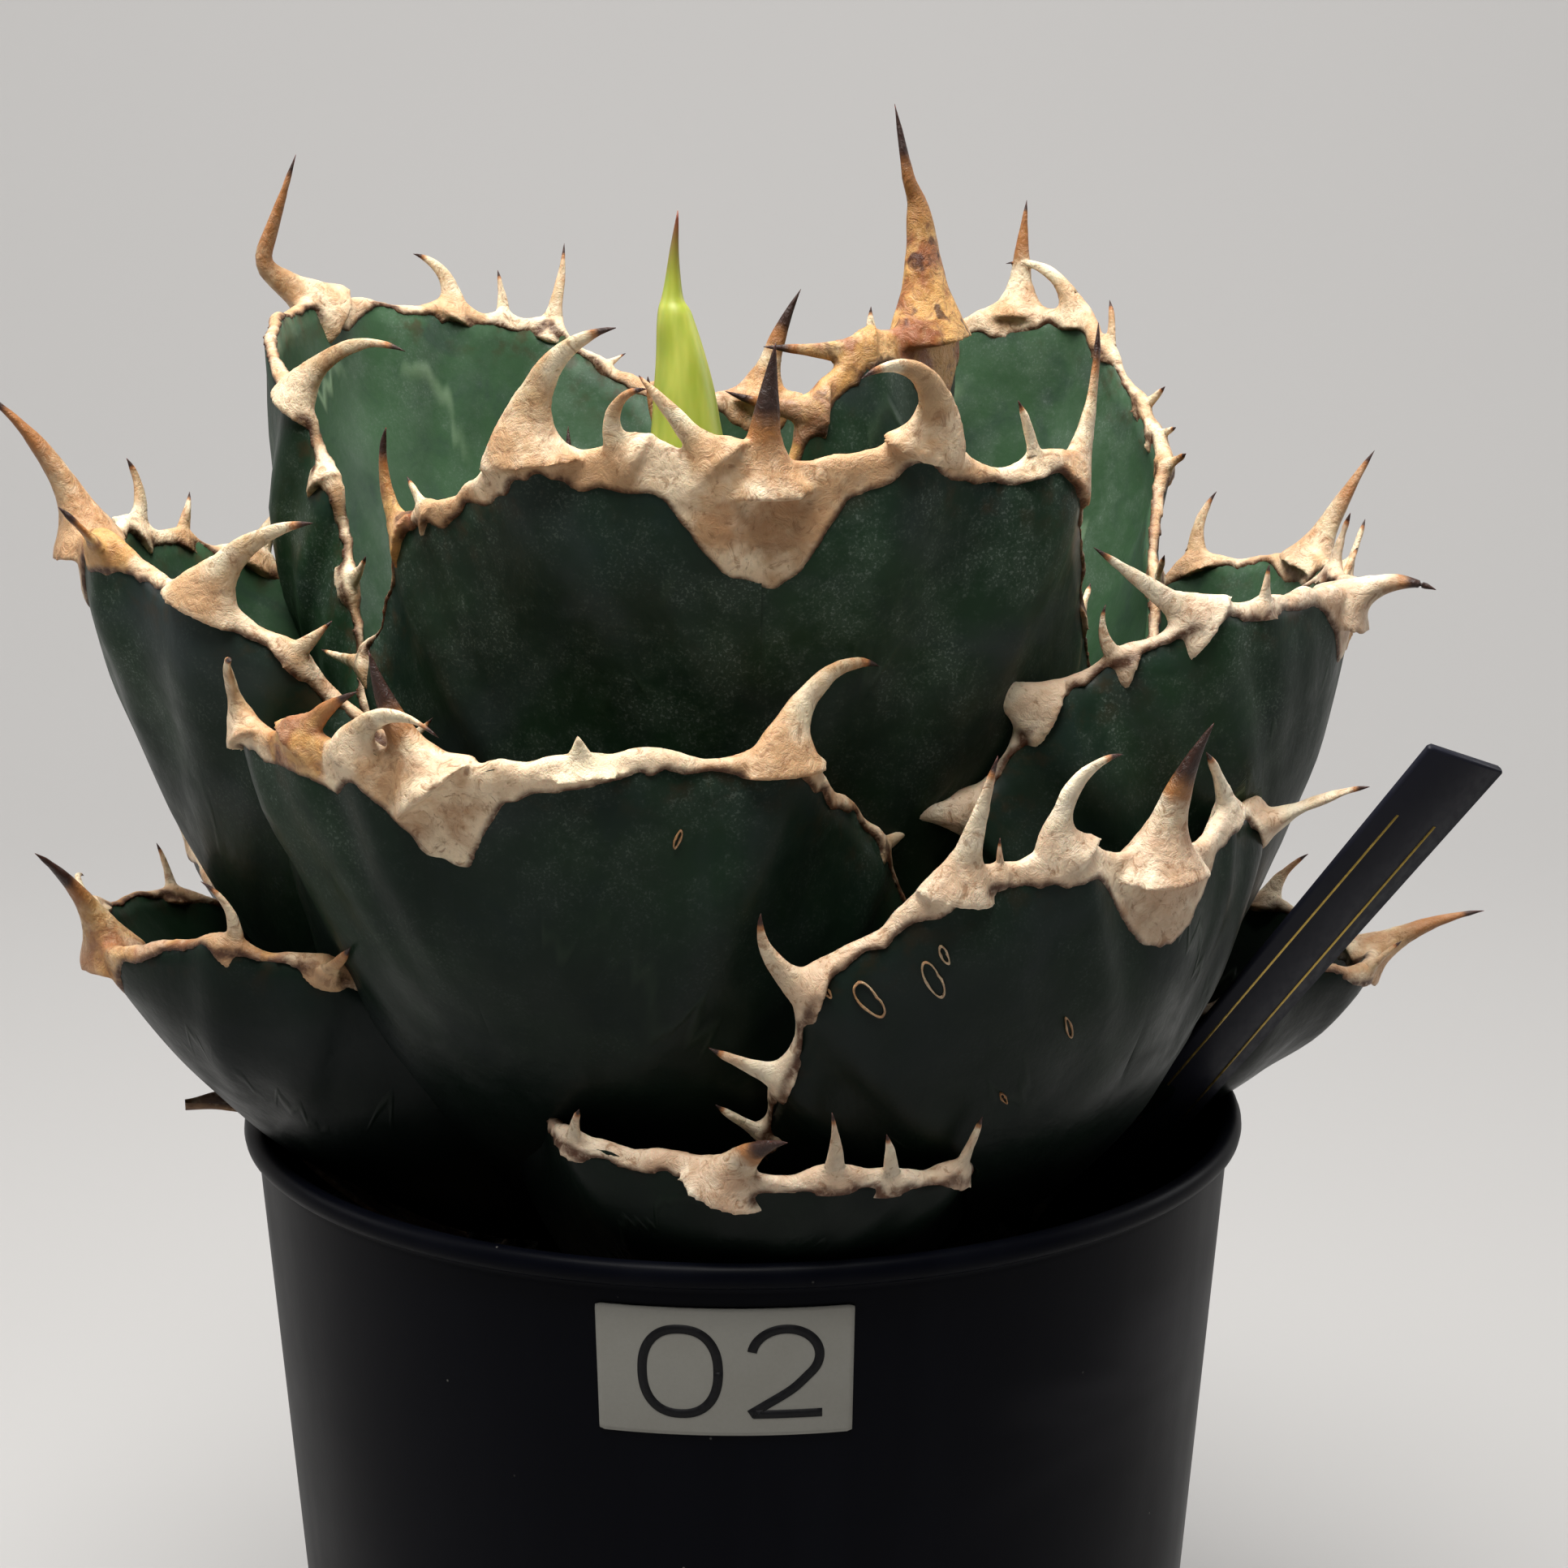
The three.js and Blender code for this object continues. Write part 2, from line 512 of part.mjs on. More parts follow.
// A tapering horn along a path, flattened across the given normal
function horn(path, normal, width, { sides = 4, flatness = 0.6, grow = 0, power = 0.8 }) {
  const rings = path.slice(0, -1).map((place, i) => {
    const share = i / (path.length - 1);
    const heading = path[Math.min(i + 1, path.length - 1)].clone().sub(path[Math.max(i - 1, 0)]).normalize();
    const wide = new THREE.Vector3().crossVectors(normal, heading).normalize();
    const thin = new THREE.Vector3().crossVectors(heading, wide).normalize();
    const flare = 1 + 0.35 * Math.max(0, 1 - 4 * share);
    const radius = width / 2 * flare * (1 - share) ** power + grow;
    return range(sides).map((k) => {
      const angle = 2 * Math.PI * (k + 0.5) / sides;
      return place.clone().addScaledVector(wide, radius * Math.cos(angle))
        .addScaledVector(thin, Math.max(radius * flatness, 0.35 + grow) * Math.sin(angle));
    });
  });
  const tip = path.at(-1).clone();
  const ahead = tip.clone().sub(path.at(-2)).normalize();
  rings.push([tip.addScaledVector(ahead, grow)]);
  return toSolid(loft(rings));
}

// A path that starts inside its root and turns steadily
function hornPath(start, steps, length, direction) {
  const path = [start.clone()];
  for (const i of range(steps)) {
    const heading = direction((i + 0.5) / steps);
    path.push(path.at(-1).clone().addScaledVector(heading, length / steps));
  }
  return path;
}

function toothPath(form, tooth, steps = tooth.length > 7 ? 3 : 2) {
  const frame = form.net(tooth.at, 1, tooth.side, 1);
  const root = TOOTH_ROOT + 0.8 * form.mound(tooth.at, tooth.side);
  const start = frame.place.clone().addScaledVector(frame.out, -root);
  const lift = radians(tooth.lift);
  const path = hornPath(start, steps, tooth.length + root, (share) => {
    const lean = radians(tooth.lean + tooth.curl * share);
    return frame.out.clone().multiplyScalar(Math.cos(lean) * Math.cos(lift))
      .addScaledVector(frame.toTip, Math.sin(lean) * Math.cos(lift))
      .addScaledVector(frame.inner, Math.sin(lift));
  });
  return { path, normal: frame.inner };
}

function spinePath(form, steps = form.spine.length > 12 ? 5 : 4) {
  const frame = form.net(1, 1, 1, 1);
  const tip = form.surface(1, 0);
  const start = frame.place.clone().addScaledVector(tip.along, -2.5);
  const path = hornPath(start, steps, form.spine.length + 2.5, (share) => {
    const lean = radians(form.spine.lean + form.spine.curl * share);
    const lift = radians(form.spine.lift + form.spine.hook * share);
    return tip.along.clone().multiplyScalar(Math.cos(lean) * Math.cos(lift))
      .addScaledVector(tip.cross, Math.sin(lean) * Math.cos(lift))
      .addScaledVector(tip.inner, Math.sin(lift));
  });
  return { path, normal: tip.inner };
}

function leafHorns(form, grow) {
  const horns = form.teeth.map((tooth) => {
    const { path, normal } = toothPath(form, tooth);
    return horn(path, normal, tooth.width, { sides: tooth.length > 7 ? 4 : 3, grow });
  });
  const { path, normal } = spinePath(form);
  horns.push(horn(path, normal, form.spine.width, { sides: 5, flatness: 0.75, grow, power: 1 }));
  return horns;
}

// Everything one leaf needs: its blade, cork band, horns, and the space that others keep out of
function buildLeaf(leaf) {
  const form = new LeafForm(leaf);
  const bladeBorder = (gap) => (at, side) => (at < form.corkStart - 1e-6 ? 1 : form.corkEdge(at, side, gap));
  return {
    form,
    blade: toSolid(bladeMesh(form, { border: bladeBorder(GAP + 0.1) })),
    bladeSpace: toSolid(bladeMesh(form, { border: bladeBorder(0.08), grow: GAP })),
    bandSpace: corkBand(form, GAP),
    band: corkBand(form, 0),
    horns: leafHorns(form, 0),
    hornSpaces: leafHorns(form, GAP),
  };
}

function ringSolid(profile, sides) {
  const points = profile.map(([radius, height]) => new THREE.Vector2(radius, height));
  const geometry = new THREE.LatheGeometry(points, sides);
  geometry.rotateX(Math.PI / 2);
  return geometryToSolid(geometry);
}

const potRadius = (height) => BODY_TOP_RADIUS - POT_TAPER * (POT_HEIGHT - LIP_HEIGHT - height);
const innerRadius = (height) => potRadius(height) - WALL;

function makePot() {
  const lipFoot = POT_HEIGHT - LIP_HEIGHT;
  const shell = ringSolid([
    [0, 0], [potRadius(0) - 1.2, 0], [potRadius(1.2), 1.2], [potRadius(lipFoot - 0.4), lipFoot - 0.4],
    [RIM_RADIUS - 0.5, lipFoot], [RIM_RADIUS, lipFoot + 0.8], [RIM_RADIUS - 0.2, POT_HEIGHT - 0.5],
    [RIM_RADIUS - 0.9, POT_HEIGHT], [RIM_RADIUS - 2, POT_HEIGHT - 0.4], [innerRadius(lipFoot), lipFoot],
    [innerRadius(FLOOR + 1), FLOOR + 1], [innerRadius(FLOOR) - 1, FLOOR], [0, FLOOR],
  ], POT_SIDES);
  const holes = range(DRAIN_HOLES).map((i) => {
    const angle = 2 * Math.PI * (i + 0.5) / DRAIN_HOLES;
    const drill = new THREE.CylinderGeometry(DRAIN_RADIUS, DRAIN_RADIUS, 4 * FLOOR, 8);
    drill.rotateX(Math.PI / 2);
    drill.translate(DRAIN_CIRCLE * Math.cos(angle), DRAIN_CIRCLE * Math.sin(angle), 0);
    return geometryToSolid(drill);
  });
  return cut(shell, holes);
}

// The space that leaves keep out of: the pot's wall and lip, and all that lies below the soil's top
function makePotSpace(gap) {
  const lipFoot = POT_HEIGHT - LIP_HEIGHT;
  const soil = SOIL_TOP + SOIL_LUMP + gap;
  return ringSolid([
    [0, SOIL_TOP - 4], [potRadius(SOIL_TOP - 4) + gap, SOIL_TOP - 4], [potRadius(lipFoot) + gap, lipFoot - 1],
    [RIM_RADIUS + gap, lipFoot], [RIM_RADIUS + gap, POT_HEIGHT + gap],
    [innerRadius(lipFoot) - gap, POT_HEIGHT + gap], [innerRadius(soil) - gap - 0.1, soil], [0, soil],
  ], POT_SIDES);
}

// Stem: a short core, thick where the oldest leaves grow
const STEM_PROFILE = [[0, STEM_FOOT], [6, STEM_FOOT], [9, 82], [14, 92], [15, 101], [12, 108],
  [9, 115], [6.5, 120], [4.5, 124], [0, 125]];

const makeStem = () => ringSolid(STEM_PROFILE, 12);
const makeStemSpace = (gap) => ringSolid(STEM_PROFILE.map(([radius, height]) => {
  const end = height === STEM_FOOT ? -gap : 0;
  return radius === 0 ? [0, height + (end || gap)] : [radius + gap, height + end];
}), 12);

// A repeatable draw between 0 and 1 from two whole numbers
function draw(i, k) {
  const value = Math.sin(i * 127.1 + k * 311.7) * 43758.5453;
  return value - Math.floor(value);
}

// Soil: fills the pot to below the rim, with a lumpy top of coarse grains
function makeSoil() {
  const sides = 28;
  const radii = [22, 32, 41, 50];
  const outer = innerRadius(SOIL_TOP) - GAP;
  const foot = FLOOR + GAP + 0.1;
  const circle = (radius, height) => range(sides).map((k) => {
    const angle = 2 * Math.PI * k / sides;
    return new THREE.Vector3(radius * Math.cos(angle), radius * Math.sin(angle), height(k));
  });
  const rings = [
    [new THREE.Vector3(0, 0, foot)],
    circle(innerRadius(foot) - 1.2, () => foot),
    circle(innerRadius(foot + 3) - GAP - 0.2, () => foot + 3),
    circle(outer, () => SOIL_TOP - 0.8),
    ...radii.toReversed().map((radius, i) => circle(radius, (k) => SOIL_TOP + SOIL_LUMP * (2 * draw(i, k) - 1))),
    [new THREE.Vector3(0, 0, SOIL_TOP)],
  ];
  return toSolid(loft(rings));
}

// Sticker: a thin plate that follows the cone of the pot
function makeSticker() {
  const columns = 8;
  const rings = range(columns + 1).map((i) => {
    const angle = radians(lerp(STICKER_FROM, STICKER_TO, i / columns));
    const corner = (height, rise) => {
      const radius = potRadius(height) + GAP + rise;
      return new THREE.Vector3(radius * Math.sin(angle), -radius * Math.cos(angle), height);
    };
    return [corner(STICKER_BOTTOM, 0), corner(STICKER_BOTTOM, STICKER_THICKNESS),
      corner(STICKER_TOP, STICKER_THICKNESS), corner(STICKER_TOP, 0)];
  });
  return toSolid(loft(rings));
}

// Plant label: its wide side faces the front, and its foot is a point in the soil
function makeLabel(grow) {
  const top = new THREE.Vector3(...LABEL_TOP);
  const foot = new THREE.Vector3(...LABEL_FOOT);
  const heading = top.clone().sub(foot).normalize();
  const wide = new THREE.Vector3(0.96, 0.22, 0);
  wide.addScaledVector(heading, -wide.dot(heading)).normalize();
  const thin = new THREE.Vector3().crossVectors(wide, heading);
  const stations = [
    [foot.clone().addScaledVector(heading, -9 - grow), 2.4],
    [foot, LABEL_FOOT_WIDTH],
    [top.clone().addScaledVector(heading, grow), LABEL_TOP_WIDTH],
  ];
  return toSolid(loft(stations.map(([place, width]) => [[-1, -1], [1, -1], [1, 1], [-1, 1]].map(([u, v]) => (
    place.clone().addScaledVector(wide, u * (width / 2 + grow)).addScaledVector(thin, v * (LABEL_THICKNESS / 2 + grow))
  )))));
}

// The furled bud: a tapering cone that leans a little left and ends in its own spine
const BUD_PATH = [[-2, 0, 127.5], [-2.5, 0, 145], [-4.5, 0, 165], [-6, 0, 182], [-6.8, 0, 196], [-7.6, 0, 203],
  [-7.9, 0, 206], [-7.3, 0, 215]];
const BUD_RADII = [3.4, 4.6, 4.4, 3.9, 2.9, 1.5, 0.95];

function makeBud(grow) {
  const sides = 8;
  const path = BUD_PATH.map((point) => new THREE.Vector3(...point));
  const rings = BUD_RADII.map((radius, i) => range(sides).map((k) => {
    const angle = 2 * Math.PI * k / sides;
    return path[i].clone().add(new THREE.Vector3(Math.cos(angle), Math.sin(angle), 0)
      .multiplyScalar(radius + grow));
  }));
  rings.push([path.at(-1).clone().add(new THREE.Vector3(0, 0, grow))]);
  return toSolid(loft(rings));
}

// The dried tip of a dead leaf that lies over the rim at the left
const DRY_LEAF_PATH = [[-33, -9, 93.5], [-42, -10.5, 98], [-50, -12, 104.5], [-56, -13, 111], [-60.5, -14, 113],
  [-65, -15, 113]];

function makeDryLeaf(grow) {
  const widths = [5, 8.5, 8, 6.5, 5, 1.2];
  const path = DRY_LEAF_PATH.map((point) => new THREE.Vector3(...point));
  const rings = path.map((place, i) => {
    const heading = path[Math.min(i + 1, 5)].clone().sub(path[Math.max(i - 1, 0)]).normalize();
    const wide = new THREE.Vector3(-0.2, 1, 0).normalize();
    const thin = new THREE.Vector3().crossVectors(wide, heading).normalize();
    return [[-1, -0.45], [0, -0.75], [1, -0.45], [1, 0.45], [0, 0.15], [-1, 0.45]].map(([u, v]) => place.clone()
      .addScaledVector(wide, u * (widths[i] / 2 + grow)).addScaledVector(thin, v + Math.sign(v) * grow));
  });
  return toSolid(loft(rings));
}

const COLORS = {
  pot: { color: 0x17181b, roughness: 0.55 },
  soil: { color: 0x2b241d, roughness: 0.95 },
  stem: { color: 0x6f7a4a, roughness: 0.7 },
  sticker: { color: 0xe6e2d8, roughness: 0.6 },
  label: { color: 0x2c2d33, roughness: 0.45 },
  bud: { color: 0xa9c04a, roughness: 0.5 },
  blade: { color: 0x2f4238, roughness: 0.6 },
  cork: { color: 0xcbb58f, roughness: 0.75 },
  dry: { color: 0x6e4d38, roughness: 0.85 },
};

// A solid as a named, flat-shaded mesh
function toMesh(name, solid, finish) {
  const { vertProperties, triVerts, numProp } = solid.getMesh();
  const positions = new Float32Array(vertProperties.length / numProp * 3);
  for (const i of range(positions.length / 3)) {
    for (const k of range(3)) positions[3 * i + k] = vertProperties[numProp * i + k];
  }
  const geometry = new THREE.BufferGeometry();
  geometry.setAttribute('position', new THREE.BufferAttribute(positions, 3));
  geometry.setIndex(new THREE.BufferAttribute(new Uint32Array(triVerts), 1));
  const material = new THREE.MeshStandardMaterial({ ...finish, metalness: 0, flatShading: true });
  const mesh = new THREE.Mesh(geometry, material);
  mesh.name = name;
  return mesh;
}

function makeAgave() {
  const leaves = LEAVES.map(buildLeaf);
  const others = [makePotSpace(GAP), makeStemSpace(GAP), makeLabel(GAP), makeBud(GAP), makeDryLeaf(GAP)];
  const meshes = [];
  leaves.forEach((leaf, index) => {
    const older = leaves.slice(index + 1);
    const rest = leaves.filter((other) => other !== leaf);
    const olderSpaces = older.flatMap((other) => [other.bladeSpace, other.bandSpace]);
    const blade = cut(leaf.blade, [...others, ...olderSpaces]);
    const teeth = leaf.horns.map((tooth) => cut(tooth, [leaf.bladeSpace, ...rest.map((other) => other.bladeSpace)]));
    const olderHorns = older.flatMap((other) => other.hornSpaces);
    const band = cut(leaf.band, olderSpaces);
    const margin = cut(join([band, ...teeth]), [...others, ...olderHorns]);
    meshes.push(toMesh(`leaf_${leaf.form.name}`, largestBody(blade), COLORS.blade));
    meshes.push(toMesh(`margin_${leaf.form.name}`, largestBody(margin), COLORS.cork));
  });
  return meshes;
}

const agave = new THREE.Group();
agave.add(toMesh('pot', makePot(), COLORS.pot));
agave.add(toMesh('soil', cut(makeSoil(), [makeStemSpace(GAP), makeLabel(GAP)]), COLORS.soil));
agave.add(toMesh('stem', makeStem(), COLORS.stem));
agave.add(toMesh('number_sticker', makeSticker(), COLORS.sticker));
agave.add(toMesh('plant_label', makeLabel(0), COLORS.label));
agave.add(toMesh('leaf_bud', makeBud(0), COLORS.bud));
agave.add(toMesh('dry_leaf', makeDryLeaf(0), COLORS.dry));
makeAgave().forEach((mesh) => agave.add(mesh));

export default agave;
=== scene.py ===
"""A potted rosette agave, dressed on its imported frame. Lengths are in millimetres until a mesh is stored."""
import logging
import math
from dataclasses import dataclass, field
from enum import Enum
from functools import partial

import bpy
import numpy as np
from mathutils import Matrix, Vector


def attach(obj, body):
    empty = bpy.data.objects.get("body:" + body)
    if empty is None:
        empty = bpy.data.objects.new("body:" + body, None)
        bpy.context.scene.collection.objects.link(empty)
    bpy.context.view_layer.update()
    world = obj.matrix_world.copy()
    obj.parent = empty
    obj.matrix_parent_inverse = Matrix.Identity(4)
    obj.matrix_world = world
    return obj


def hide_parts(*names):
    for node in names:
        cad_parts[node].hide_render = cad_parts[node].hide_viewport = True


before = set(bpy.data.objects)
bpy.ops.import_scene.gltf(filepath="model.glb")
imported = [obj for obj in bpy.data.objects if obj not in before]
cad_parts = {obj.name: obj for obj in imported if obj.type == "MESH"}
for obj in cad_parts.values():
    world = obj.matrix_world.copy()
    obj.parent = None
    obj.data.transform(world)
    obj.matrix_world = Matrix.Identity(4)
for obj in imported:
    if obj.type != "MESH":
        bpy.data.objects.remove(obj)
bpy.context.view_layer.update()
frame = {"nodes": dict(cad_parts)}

log = logging.getLogger("agave")
Array = np.ndarray
Color = tuple[float, float, float]

MM = 0.001
ROOT = "root"
# Where the last spokes leave the midrib, as a share of its length.
SPOKE_REACH = 0.75
# Where along the margin the cork starts.
CORK_START = 0.3
# How deep teeth and spines are sunk in the blade, and the least radius of their points.
TOOTH_ROOT = 1.2
SPINE_ROOT = 2.5
POINT_RADIUS = 0.03
TOOTH_FLATNESS = 0.55
SPINE_FLATNESS = 0.75
# Thickness of a blade's rounded rim, and how far out on the spoke it starts.
RIM_THICKNESS = 1.5
RIM_START = 0.992
# Depth of the room in front of an inner face, which older leaves keep out of.
HOLLOW_DEPTH = 6.0
# How far a leaf is swollen when the younger ones are cut clear of it.
SPACE_GAP = 0.45
# How close corners are welded, and how many are measured at a time.
WELD_GAP = 0.004
CHUNK = 4000


class Side(Enum):
    """A leaf's margin as seen from its outer face."""

    LEFT = -1
    RIGHT = 1


class Face(Enum):
    """The two faces of a blade."""

    INNER = 1.0
    OUTER = 0.0


class Operation(Enum):
    """What a Math node does."""

    TIMES = "MULTIPLY"
    TIMES_PLUS = "MULTIPLY_ADD"
    MINUS = "SUBTRACT"
    SIZE = "ABSOLUTE"


class Axis(Enum):
    """The axes that a finish reads."""

    X = "X"
    Z = "Z"


# Plain geometry


def smooth(x: Array, low: float, high: float) -> Array:
    """Rises from 0 at low to 1 at high without a corner."""
    t = np.clip((np.asarray(x, float) - low) / (high - low), 0, 1)
    return t * t * (3 - 2 * t)


def unit(v: Array) -> Array:
    """Scales vectors along the last axis to length 1."""
    return v / (np.linalg.norm(v, axis=-1, keepdims=True) + 1e-12)


def hashed(x: Array, y: Array, z: Array, seed: int) -> Array:
    """Draws a repeatable value between -1 and 1 for each whole-number place.

    Args:
        x: whole numbers along the first axis.
        y: the same along the second.
        z: the same along the third.
        seed: picks another draw.

    Returns:
        The values, one for each place.
    """
    h = (x * 374761393 + y * 668265263 + z * 1274126177 + seed * 974711) & 0xFFFFFFFF
    h = ((h ^ (h >> 13)) * 1103515245) & 0xFFFFFFFF
    h = ((h ^ (h >> 16)) * 2654435769) & 0xFFFFFFFF
    return ((h ^ (h >> 15)) & 0xFFFF) / 32767.5 - 1


def noise(points: Array, size: float, seed: int = 0) -> Array:
    """Reads smooth value noise.

    Args:
        points: places, with three values on the last axis.
        size: distance between the lattice places.
        seed: picks another pattern.

    Returns:
        Values between -1 and 1, one for each place.
    """
    p = np.asarray(points, float) / size + 1000.37
    cell = np.floor(p).astype(np.int64)
    t = p - cell
    t = t * t * (3 - 2 * t)
    total = np.zeros(p.shape[:-1])
    for corner in range(8):
        bits = [(corner >> k) & 1 for k in range(3)]
        weight = np.ones(p.shape[:-1])
        for k in range(3):
            weight = weight * (t[..., k] if bits[k] else 1 - t[..., k])
        total += weight * hashed(*[cell[..., k] + bits[k] for k in range(3)], seed)
    return total


def noise_line(x: Array, size: float, seed: int = 0) -> Array:
    """Reads the same noise along one line."""
    x = np.asarray(x, float)
    return noise(np.stack([x, np.full_like(x, 3.3), np.full_like(x, 7.1)], -1), size, seed)


@dataclass
class Shape:
    """A mesh in the making.

    Attributes:
        points: corners, one row each.
        faces: corner numbers of each face.
        marks: colour layers by name, four values for each corner.
    """

    points: Array
    faces: list[list[int]]
    marks: dict[str, Array] = field(default_factory=dict)

    @staticmethod
    def joined(shapes: list["Shape"]) -> "Shape":
        """Puts several shapes in one, without welding them.

        Args:
            shapes: what to put together.

        Returns:
            One shape with all their colour layers.
        """
        points, faces, start = [], [], 0
        names = sorted({name for shape in shapes for name in shape.marks})
        marks = {name: [] for name in names}
        for shape in shapes:
            points.append(shape.points)
            faces += [[i + start for i in face] for face in shape.faces]
            start += len(shape.points)
            for name in names:
                marks[name].append(shape.marks.get(name, np.zeros((len(shape.points), 4))))
        return Shape(np.vstack(points), faces, {name: np.vstack(marks[name]) for name in names})

    def edges(self) -> Array:
        """Lists the edges of every face.

        Returns:
            Two corner numbers in each row.
        """
        pairs = []
        for count in {len(face) for face in self.faces}:
            same = np.array([face for face in self.faces if len(face) == count])
            pairs.append(np.stack([same, np.roll(same, -1, axis=1)], -1).reshape(-1, 2))
        return np.vstack(pairs)

    def relaxed(self, rounds: int, share: float = 0.5) -> "Shape":
        """Moves each corner towards the middle of its neighbours.

        Args:
            rounds: how many times.
            share: how far each time, from 0 to 1.

        Returns:
            The smoother shape.
        """
        pairs = self.edges()
        ends = np.concatenate([pairs[:, 0], pairs[:, 1]])
        others = np.concatenate([pairs[:, 1], pairs[:, 0]])
        count = np.bincount(ends, minlength=len(self.points))[:, None]
        points = self.points.copy()
        for _ in range(rounds):
            total = np.stack([np.bincount(ends, points[others, k], len(points)) for k in range(3)], -1)
            points += share * (total / np.maximum(count, 1) - points)
        return Shape(points, self.faces, self.marks)

    def normals(self) -> Array:
        """Averages the normals of the faces round each corner.

        Returns:
            One unit vector for each corner.
        """
        total = np.zeros_like(self.points)
        for count in {len(face) for face in self.faces}:
            same = np.array([face for face in self.faces if len(face) == count])
            a, b, c = (self.points[same[:, k]] for k in (0, 1, 2))
            across = np.cross(b - a, c - a)
            for k in range(count):
                np.add.at(total, same[:, k], across)
        return unit(total)

    def largest(self) -> "Shape":
        """Keeps the piece with the most corners.

        Returns:
            That piece alone.
        """
        label = np.arange(len(self.points))
        pairs = self.edges()
        while True:
            low = np.minimum(label[pairs[:, 0]], label[pairs[:, 1]])
            fresh = label.copy()
            np.minimum.at(fresh, pairs[:, 0], low)
            np.minimum.at(fresh, pairs[:, 1], low)
            fresh = fresh[fresh]
            if (fresh == label).all():
                break
            label = fresh
        values, counts = np.unique(label, return_counts=True)
        keep = label == values[counts.argmax()]
        number = np.cumsum(keep) - 1
        faces = [[int(number[i]) for i in face] for face in self.faces if keep[face[0]]]
        return Shape(self.points[keep], faces, {name: mark[keep] for name, mark in self.marks.items()})

    def to_mesh(self, name: str, scale: float = MM) -> bpy.types.Mesh:
        """Stores the shape as a smooth-shaded mesh with its colour layers.

        Args:
            name: the mesh's name.
            scale: metres for each unit of the shape.

        Returns:
            The new mesh.
        """
        mesh = bpy.data.meshes.new(name)
        mesh.from_pydata((self.points * scale).tolist(), [], self.faces)
        for layer, values in self.marks.items():
            store = mesh.color_attributes.new(layer, "FLOAT_COLOR", "POINT")
            store.data.foreach_set("color", np.asarray(values, np.float32).ravel())
        mesh.polygons.foreach_set("use_smooth", [True] * len(mesh.polygons))
        mesh.update()
        return mesh


def loft(rings: Array, closed: bool = True) -> Shape:
    """Skins closed rings of equal length and closes the first one with a fan.

    Args:
        rings: places as rings, corners, coordinates.
        closed: whether the last ring is closed as well.

    Returns:
        The skin, turned so that its volume is positive.
    """
    rows, count = rings.shape[:2]
    points = rings.reshape(-1, 3)
    k = np.arange(count)
    base = np.arange(rows - 1)[:, None] * count
    turn = (k + 1) % count
    quads = np.stack([base + k, base + turn, base + turn + count, base + k + count], -1).reshape(-1, 4)
    faces = quads.tolist()
    extra = []
    for row in (0, rows - 1) if closed else (0,):
        centre = len(points) + len(extra)
        extra.append(rings[row].mean(axis=0))
        for i in range(count):
            a, b = row * count + i, row * count + (i + 1) % count
            faces.append([b, a, centre] if row == 0 else [a, b, centre])
    points = np.vstack([points, extra])
    quad = points[quads]
    volume = np.einsum("ij,ij->i", quad[:, 0], np.cross(quad[:, 1], quad[:, 2])).sum()
    volume += np.einsum("ij,ij->i", quad[:, 0], np.cross(quad[:, 2], quad[:, 3])).sum()
    if volume < 0:
        faces = [face[::-1] for face in faces]
    return Shape(points, faces)


def linked(name: str, data: bpy.types.ID) -> bpy.types.Object:
    """Adds an object to the scene.

    Args:
        name: its name.
        data: its mesh, light or camera.

    Returns:
        The new object.
    """
    made = bpy.data.objects.new(name, data)
    bpy.context.scene.collection.objects.link(made)
    return made


class Workbench:
    """Runs Blender's modifiers on shapes, in millimetres, and takes the results back."""

    def _object(self, shape: Shape) -> bpy.types.Object:
        """Links a shape to the scene for a moment."""
        return linked("helper", shape.to_mesh("helper", 1.0))

    def _cleared(self, *objects: bpy.types.Object) -> None:
        """Removes helper objects and their meshes.

        Args:
            *objects: what to remove.
        """
        for made in objects:
            mesh = made.data
            bpy.data.objects.remove(made)
            bpy.data.meshes.remove(mesh)

    def _modified(self, shape: Shape, kind: str, *steps: dict[str, object]) -> Shape:
        """Runs modifiers of one kind on a shape.

        Args:
            shape: what they run on.
            kind: their type.
            *steps: the settings of each.

        Returns:
            The result with its colour layers.
        """
        made = self._object(shape)
        for settings in steps:
            modifier = made.modifiers.new("step", kind)
            for name, setting in settings.items():
                setattr(modifier, name, setting)
        result = made.evaluated_get(bpy.context.evaluated_depsgraph_get()).to_mesh()
        points = np.empty(3 * len(result.vertices))
        result.vertices.foreach_get("co", points)
        faces = [list(polygon.vertices) for polygon in result.polygons]
        marks = {}
        for layer in result.color_attributes:
            if layer.domain == "POINT":
                values = np.empty(4 * len(result.vertices), np.float32)
                layer.data.foreach_get("color", values)
                marks[layer.name] = values.reshape(-1, 4)
        self._cleared(made)
        return Shape(points.reshape(-1, 3), faces, marks)

    def remeshed(self, shape: Shape, voxel: float) -> Shape:
        """Melts overlapping closed shells into one skin of even quads."""
        return self._modified(shape, "REMESH", {"mode": "VOXEL", "voxel_size": voxel})

    def welded(self, shape: Shape) -> Shape:
        """Joins corners that lie together."""
        return self._modified(shape, "WELD", {"merge_threshold": WELD_GAP})

    def carved(self, shape: Shape, tools: list[Shape]) -> Shape:
        """Cuts closed tools out of a closed shape and keeps the largest piece.

        Args:
            shape: what is cut.
            tools: what is cut out of it.

        Returns:
            The largest piece left, or the shape uncut if a third of its faces or less is left.
        """
        if not tools:
            return shape
        helpers = [self._object(tool) for tool in tools]
        cuts = [{"operation": "DIFFERENCE", "solver": "MANIFOLD", "object": helper} for helper in helpers]
        result = self._modified(shape, "BOOLEAN", *cuts)
        self._cleared(*helpers)
        return result.largest() if len(result.faces) > len(shape.faces) // 3 else shape


BENCH = Workbench()


